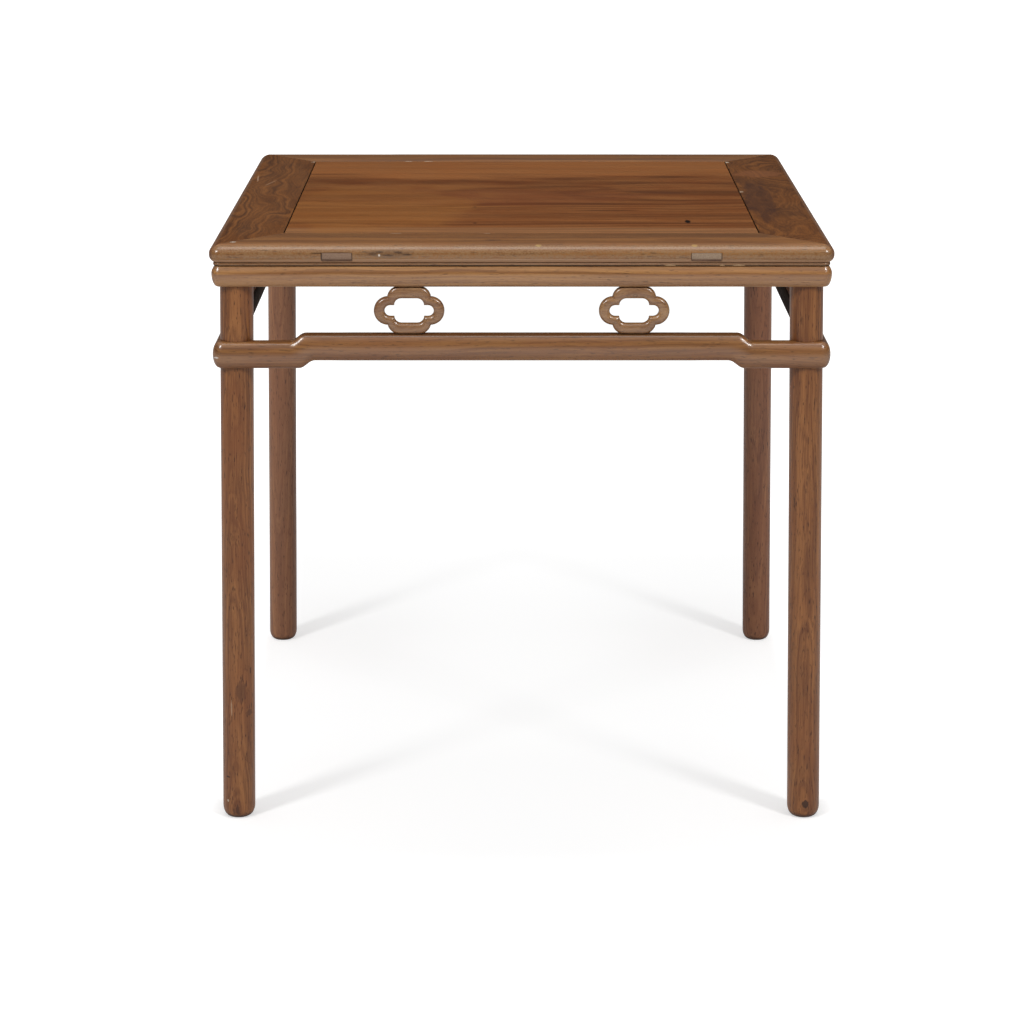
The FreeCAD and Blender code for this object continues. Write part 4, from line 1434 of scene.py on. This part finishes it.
@dataclass
class Struts:
    """Two pierced quatrefoil struts on each side, rubbed round on every rim."""

    offset: float = 162 * MM
    half_width: float = 31.8 * MM
    corner: float = 18 * MM
    lobes: Span = (50.9 * MM, 20.6 * MM)
    opening: Span = (21.4 * MM, 18.2 * MM)
    opening_corner: float = 10 * MM
    opening_lobes: Span = (35.4 * MM, 8.2 * MM)
    rim: float = 5.2 * MM
    lobe_drop: float = 0.8 * MM
    rim_steps: int = 5
    seed: int = 40

    def slab(self, name: str, half: Span, radius: float, steps: int, flare: int, drop: float = 0.0) -> Piece:
        """A rounded slab across the strut.

        Args:
            name: Name of the slab.
            half: Half width and half height at its middle.
            radius: Corner radius there.
            steps: Spans in each corner.
            flare: -1 draws the rims in on both faces, and 1 spreads them.
            drop: Its middle below the strut's.

        Returns:
            The slab, centred on the strut.
        """
        low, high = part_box("struts_front")
        spread = [(flare * self.rim, -1 * MM)] if flare > 0 else []
        for step in range(self.rim_steps + 1):
            angle = math.radians(90 * step / self.rim_steps)
            spread.append((flare * self.rim * (1 - math.sin(angle)), self.rim * (1 - math.cos(angle))))
        across = [(change, low.y + depth) for change, depth in spread]
        across += [(change, high.y - depth) for change, depth in reversed(spread)]
        middle = (low.z + high.z) / 2 - drop
        rings = []
        for change, y in across:
            outline = rounded_outline(half[0] + change, half[1] + change, radius + change, steps)
            rings.append([Vector((x, y, middle + z)) for x, z in outline])
        return loft(name, rings)

    def build(self) -> None:
        """Models one strut, doubles it and copies the pair to the other sides."""
        low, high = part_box("struts_front")
        strut = self.slab("strut", (self.half_width, (high.z - low.z) / 2), self.corner, 7, -1)
        for name, half, radius, steps, flare, operation in (
            ("lobes", self.lobes, self.lobes[1], 12, -1, "UNION"),
            ("opening", self.opening, self.opening_corner, 6, 1, "DIFFERENCE"),
            ("opening_lobes", self.opening_lobes, self.opening_lobes[1], 8, 1, "DIFFERENCE"),
        ):
            combine(strut, self.slab(name, half, radius, steps, flare, self.lobe_drop), operation)
        pair = copy_placed(strut, "strut_pair", Matrix.Translation((-self.offset, 0.0, 0.0)))
        other = copy_placed(strut, "other_strut", Matrix.Translation((self.offset, 0.0, 0.0)))
        bpy.data.objects.remove(strut)
        focus(pair)
        other.select_set(True)
        bpy.ops.object.join()
        carry_round(pair, Side, "{}_quatrefoil_struts", "struts_{}", self.wood, 40.0)

    def wood(self, side: Side) -> Material:
        """The wood of one pair of struts."""
        return STRUT_WOOD.material(side.fibres, self.seed + side.number)


@dataclass
class InnerJoinery:
    """The middle batten and the loose tenons, which keep the meshes they have in the frame."""

    nodes: tuple[str, ...] = ("batten_middle", "strut_loose_tenons", "moulding_loose_tenons")
    seed: int = 50

    def build(self) -> None:
        """Gives each of them dry wood."""
        material = INNER_WOOD.material(Fibres.FRONT_BACK, self.seed)
        for name in self.nodes:
            node = frame["nodes"][name]
            node.data.materials.clear()
            node.data.materials.append(material)
            LOG.info("%s keeps its CAD mesh", name)


# ---------- stage


@dataclass(frozen=True)
class Softbox:
    """A rectangular studio lamp: its place and aim in metres, its size, and its power in watts."""

    name: str
    place: Place
    aim: Place
    size: Span
    power: float

    def hang(self) -> None:
        """Adds the lamp to the scene."""
        lamp = bpy.data.lights.new(self.name, "AREA")
        lamp.shape = "RECTANGLE"
        lamp.size, lamp.size_y = self.size
        lamp.energy = self.power
        holder = bpy.data.objects.new(self.name, lamp)
        bpy.context.scene.collection.objects.link(holder)
        holder.location = self.place
        holder.rotation_euler = (Vector(self.aim) - holder.location).to_track_quat("-Z", "Y").to_euler()


@dataclass
class Studio:
    """A pale floor, tall softboxes at both sides, a weak one above, dim surroundings and the camera.

    The floor's own light makes up for what the lamps leave it short of white: floor_light gives, by depth
    in metres, how bright the lamps make it. Shadows are full near each foot and fade with the distance
    from it, and outside the feet the paper is burnt out to plain white.
    """

    camera_place: Place = (-0.0139, -4.4140, 1.5921)
    pitch: float = 15.66
    lens: float = 98.97
    softboxes: tuple[Softbox, ...] = (
        Softbox("left_softbox", (-3.1, -3.3, 4.2), (-0.2, -0.2, 0.7), (0.7, 1.5), 114),
        Softbox("right_softbox", (3.1, -3.3, 4.2), (0.2, -0.2, 0.7), (0.7, 1.5), 107),
        Softbox("top_softbox", (0.0, -0.5, 3.6), (0.0, 0.0, 0.8), (2.4, 1.6), 25),
    )
    floor_size: float = 60.0
    ambient: Span = (0.06, 0.44)
    ambient_rise: Span = (0.2, 0.75)
    paper_colour: str = "#d8d8d8"
    bounce: float = 0.10
    foot: float = 0.427
    level: float = 0.975
    burnt_out: float = 0.25
    burnt_span: Span = (0.015, 0.065)
    shadow_fade: Span = (0.05, 0.42)
    shadow_kept: float = 0.3
    floor_light: tuple[Span, ...] = (
        (-0.8, 0.3), (-0.57, 0.56), (-0.45, 0.53), (-0.37, 0.50), (-0.29, 0.47), (-0.2, 0.44), (-0.06, 0.37),
        (0.09, 0.345), (0.24, 0.36), (0.41, 0.37), (0.65, 0.40), (0.92, 0.36), (1.15, 0.2), (1.4, 0.0),
    )

    def build(self) -> None:
        """Adds floor, lamps, surroundings and camera."""
        deselect()
        bpy.ops.mesh.primitive_plane_add(size=self.floor_size)
        floor = bpy.context.object
        floor.name = "floor"
        floor.data.materials.append(self.paper())
        for softbox in self.softboxes:
            softbox.hang()
        self.surroundings()
        camera = bpy.data.objects.new("camera", bpy.data.cameras.new("camera"))
        bpy.context.scene.collection.objects.link(camera)
        camera.data.lens = self.lens
        camera.data.sensor_width = 36.0
        camera.location = self.camera_place
        camera.rotation_euler = (math.radians(90 - self.pitch), 0.0, 0.0)
        bpy.context.scene.camera = camera
        bpy.context.scene.view_settings.view_transform = "Standard"

    def surroundings(self) -> None:
        """White behind the table, and a weak light from all round that grows towards the ceiling."""
        world = bpy.data.worlds.new("studio")
        bpy.context.scene.world = world
        world.use_nodes = True
        tree = world.node_tree
        tree.nodes.clear()
        seen = add_node(tree, "LightPath").outputs["Is Camera Ray"]
        sky = add_node(tree, "TexCoord").outputs["Generated"]
        rise = add_node(tree, "SeparateXYZ", (sky,)).outputs["Z"]
        dim = add_node(tree, "MapRange", (rise, *self.ambient_rise, *self.ambient), **SOFT)
        strength = add_node(tree, "MapRange", {0: seen, 3: dim, 4: 1.0})
        light = add_node(tree, "Background", {"Color": WHITE, "Strength": strength})
        add_node(tree, "OutputWorld", (light,))

    def paper(self) -> Material:
        """Matt white paper: soft shadows show on it near the feet, and further out it is plain white.

        Returns:
            The floor's material.
        """
        made = bpy.data.materials.new("white_paper")
        made.use_nodes = True
        tree = made.node_tree
        tree.nodes.clear()
        spot = add_node(tree, "TexCoord").outputs["Object"]
        seen = add_node(tree, "LightPath").outputs["Is Camera Ray"]
        quarter = add_node(tree, "VectorMath", (spot,), operation="ABSOLUTE")
        foot = (self.foot, self.foot, 0.0)
        away = add_node(tree, "VectorMath", (quarter, foot), operation="DISTANCE").outputs["Value"]
        kept = add_node(tree, "MapRange", (away, *self.shadow_fade, 1.0, self.shadow_kept), **SOFT)
        near, far = self.floor_light[0][0], self.floor_light[-1][0]
        depth = add_node(tree, "SeparateXYZ", (spot,)).outputs["Y"]
        light = add_node(tree, "ValToRGB", (add_node(tree, "MapRange", (depth, near, far)),))
        stops = light.color_ramp.elements
        for place, level in self.floor_light:
            share = (place - near) / (far - near)
            stop = stops[0] if share == 0 else stops[-1] if share == 1 else stops.new(share)
            stop.color = (level, level, level, 1.0)
        aside = add_node(tree, "SeparateXYZ", (quarter,)).outputs["X"]
        start, end = (self.foot + beside for beside in self.burnt_span)
        white = add_node(
            tree, "MapRange", (aside, start, end, self.level, self.level + self.burnt_out), **SOFT
        )
        lost = add_node(tree, "Math", (kept, light), operation="MULTIPLY")
        glow = add_node(tree, "Math", (white, lost), operation="SUBTRACT")
        strength = add_node(tree, "MapRange", {0: seen, 3: self.bounce, 4: glow})
        share = add_node(tree, "MapRange", {0: seen, 3: 1.0, 4: kept})
        colour = linear(self.paper_colour)
        shade = add_node(tree, "Mix", {0: share, 6: BLACK, 7: colour}, data_type="RGBA").outputs[2]
        matt = add_node(tree, "BsdfDiffuse", {"Color": shade})
        lit = add_node(tree, "Emission", {"Color": WHITE, "Strength": strength})
        add_node(tree, "OutputMaterial", (add_node(tree, "AddShader", (matt, lit)),))
        return made


def main() -> None:
    """Builds the pieces in order, dresses them and sets the stage."""
    logging.basicConfig(level=logging.INFO)
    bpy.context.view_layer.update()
    top, legs = TopFrame(), Legs()
    for part in (
        top, TopPanel(), Battens(top), Mouldings(), legs, Stretchers(legs), Struts(), InnerJoinery(), Studio()
    ):
        part.build()


if __name__ == "__main__":
    main()
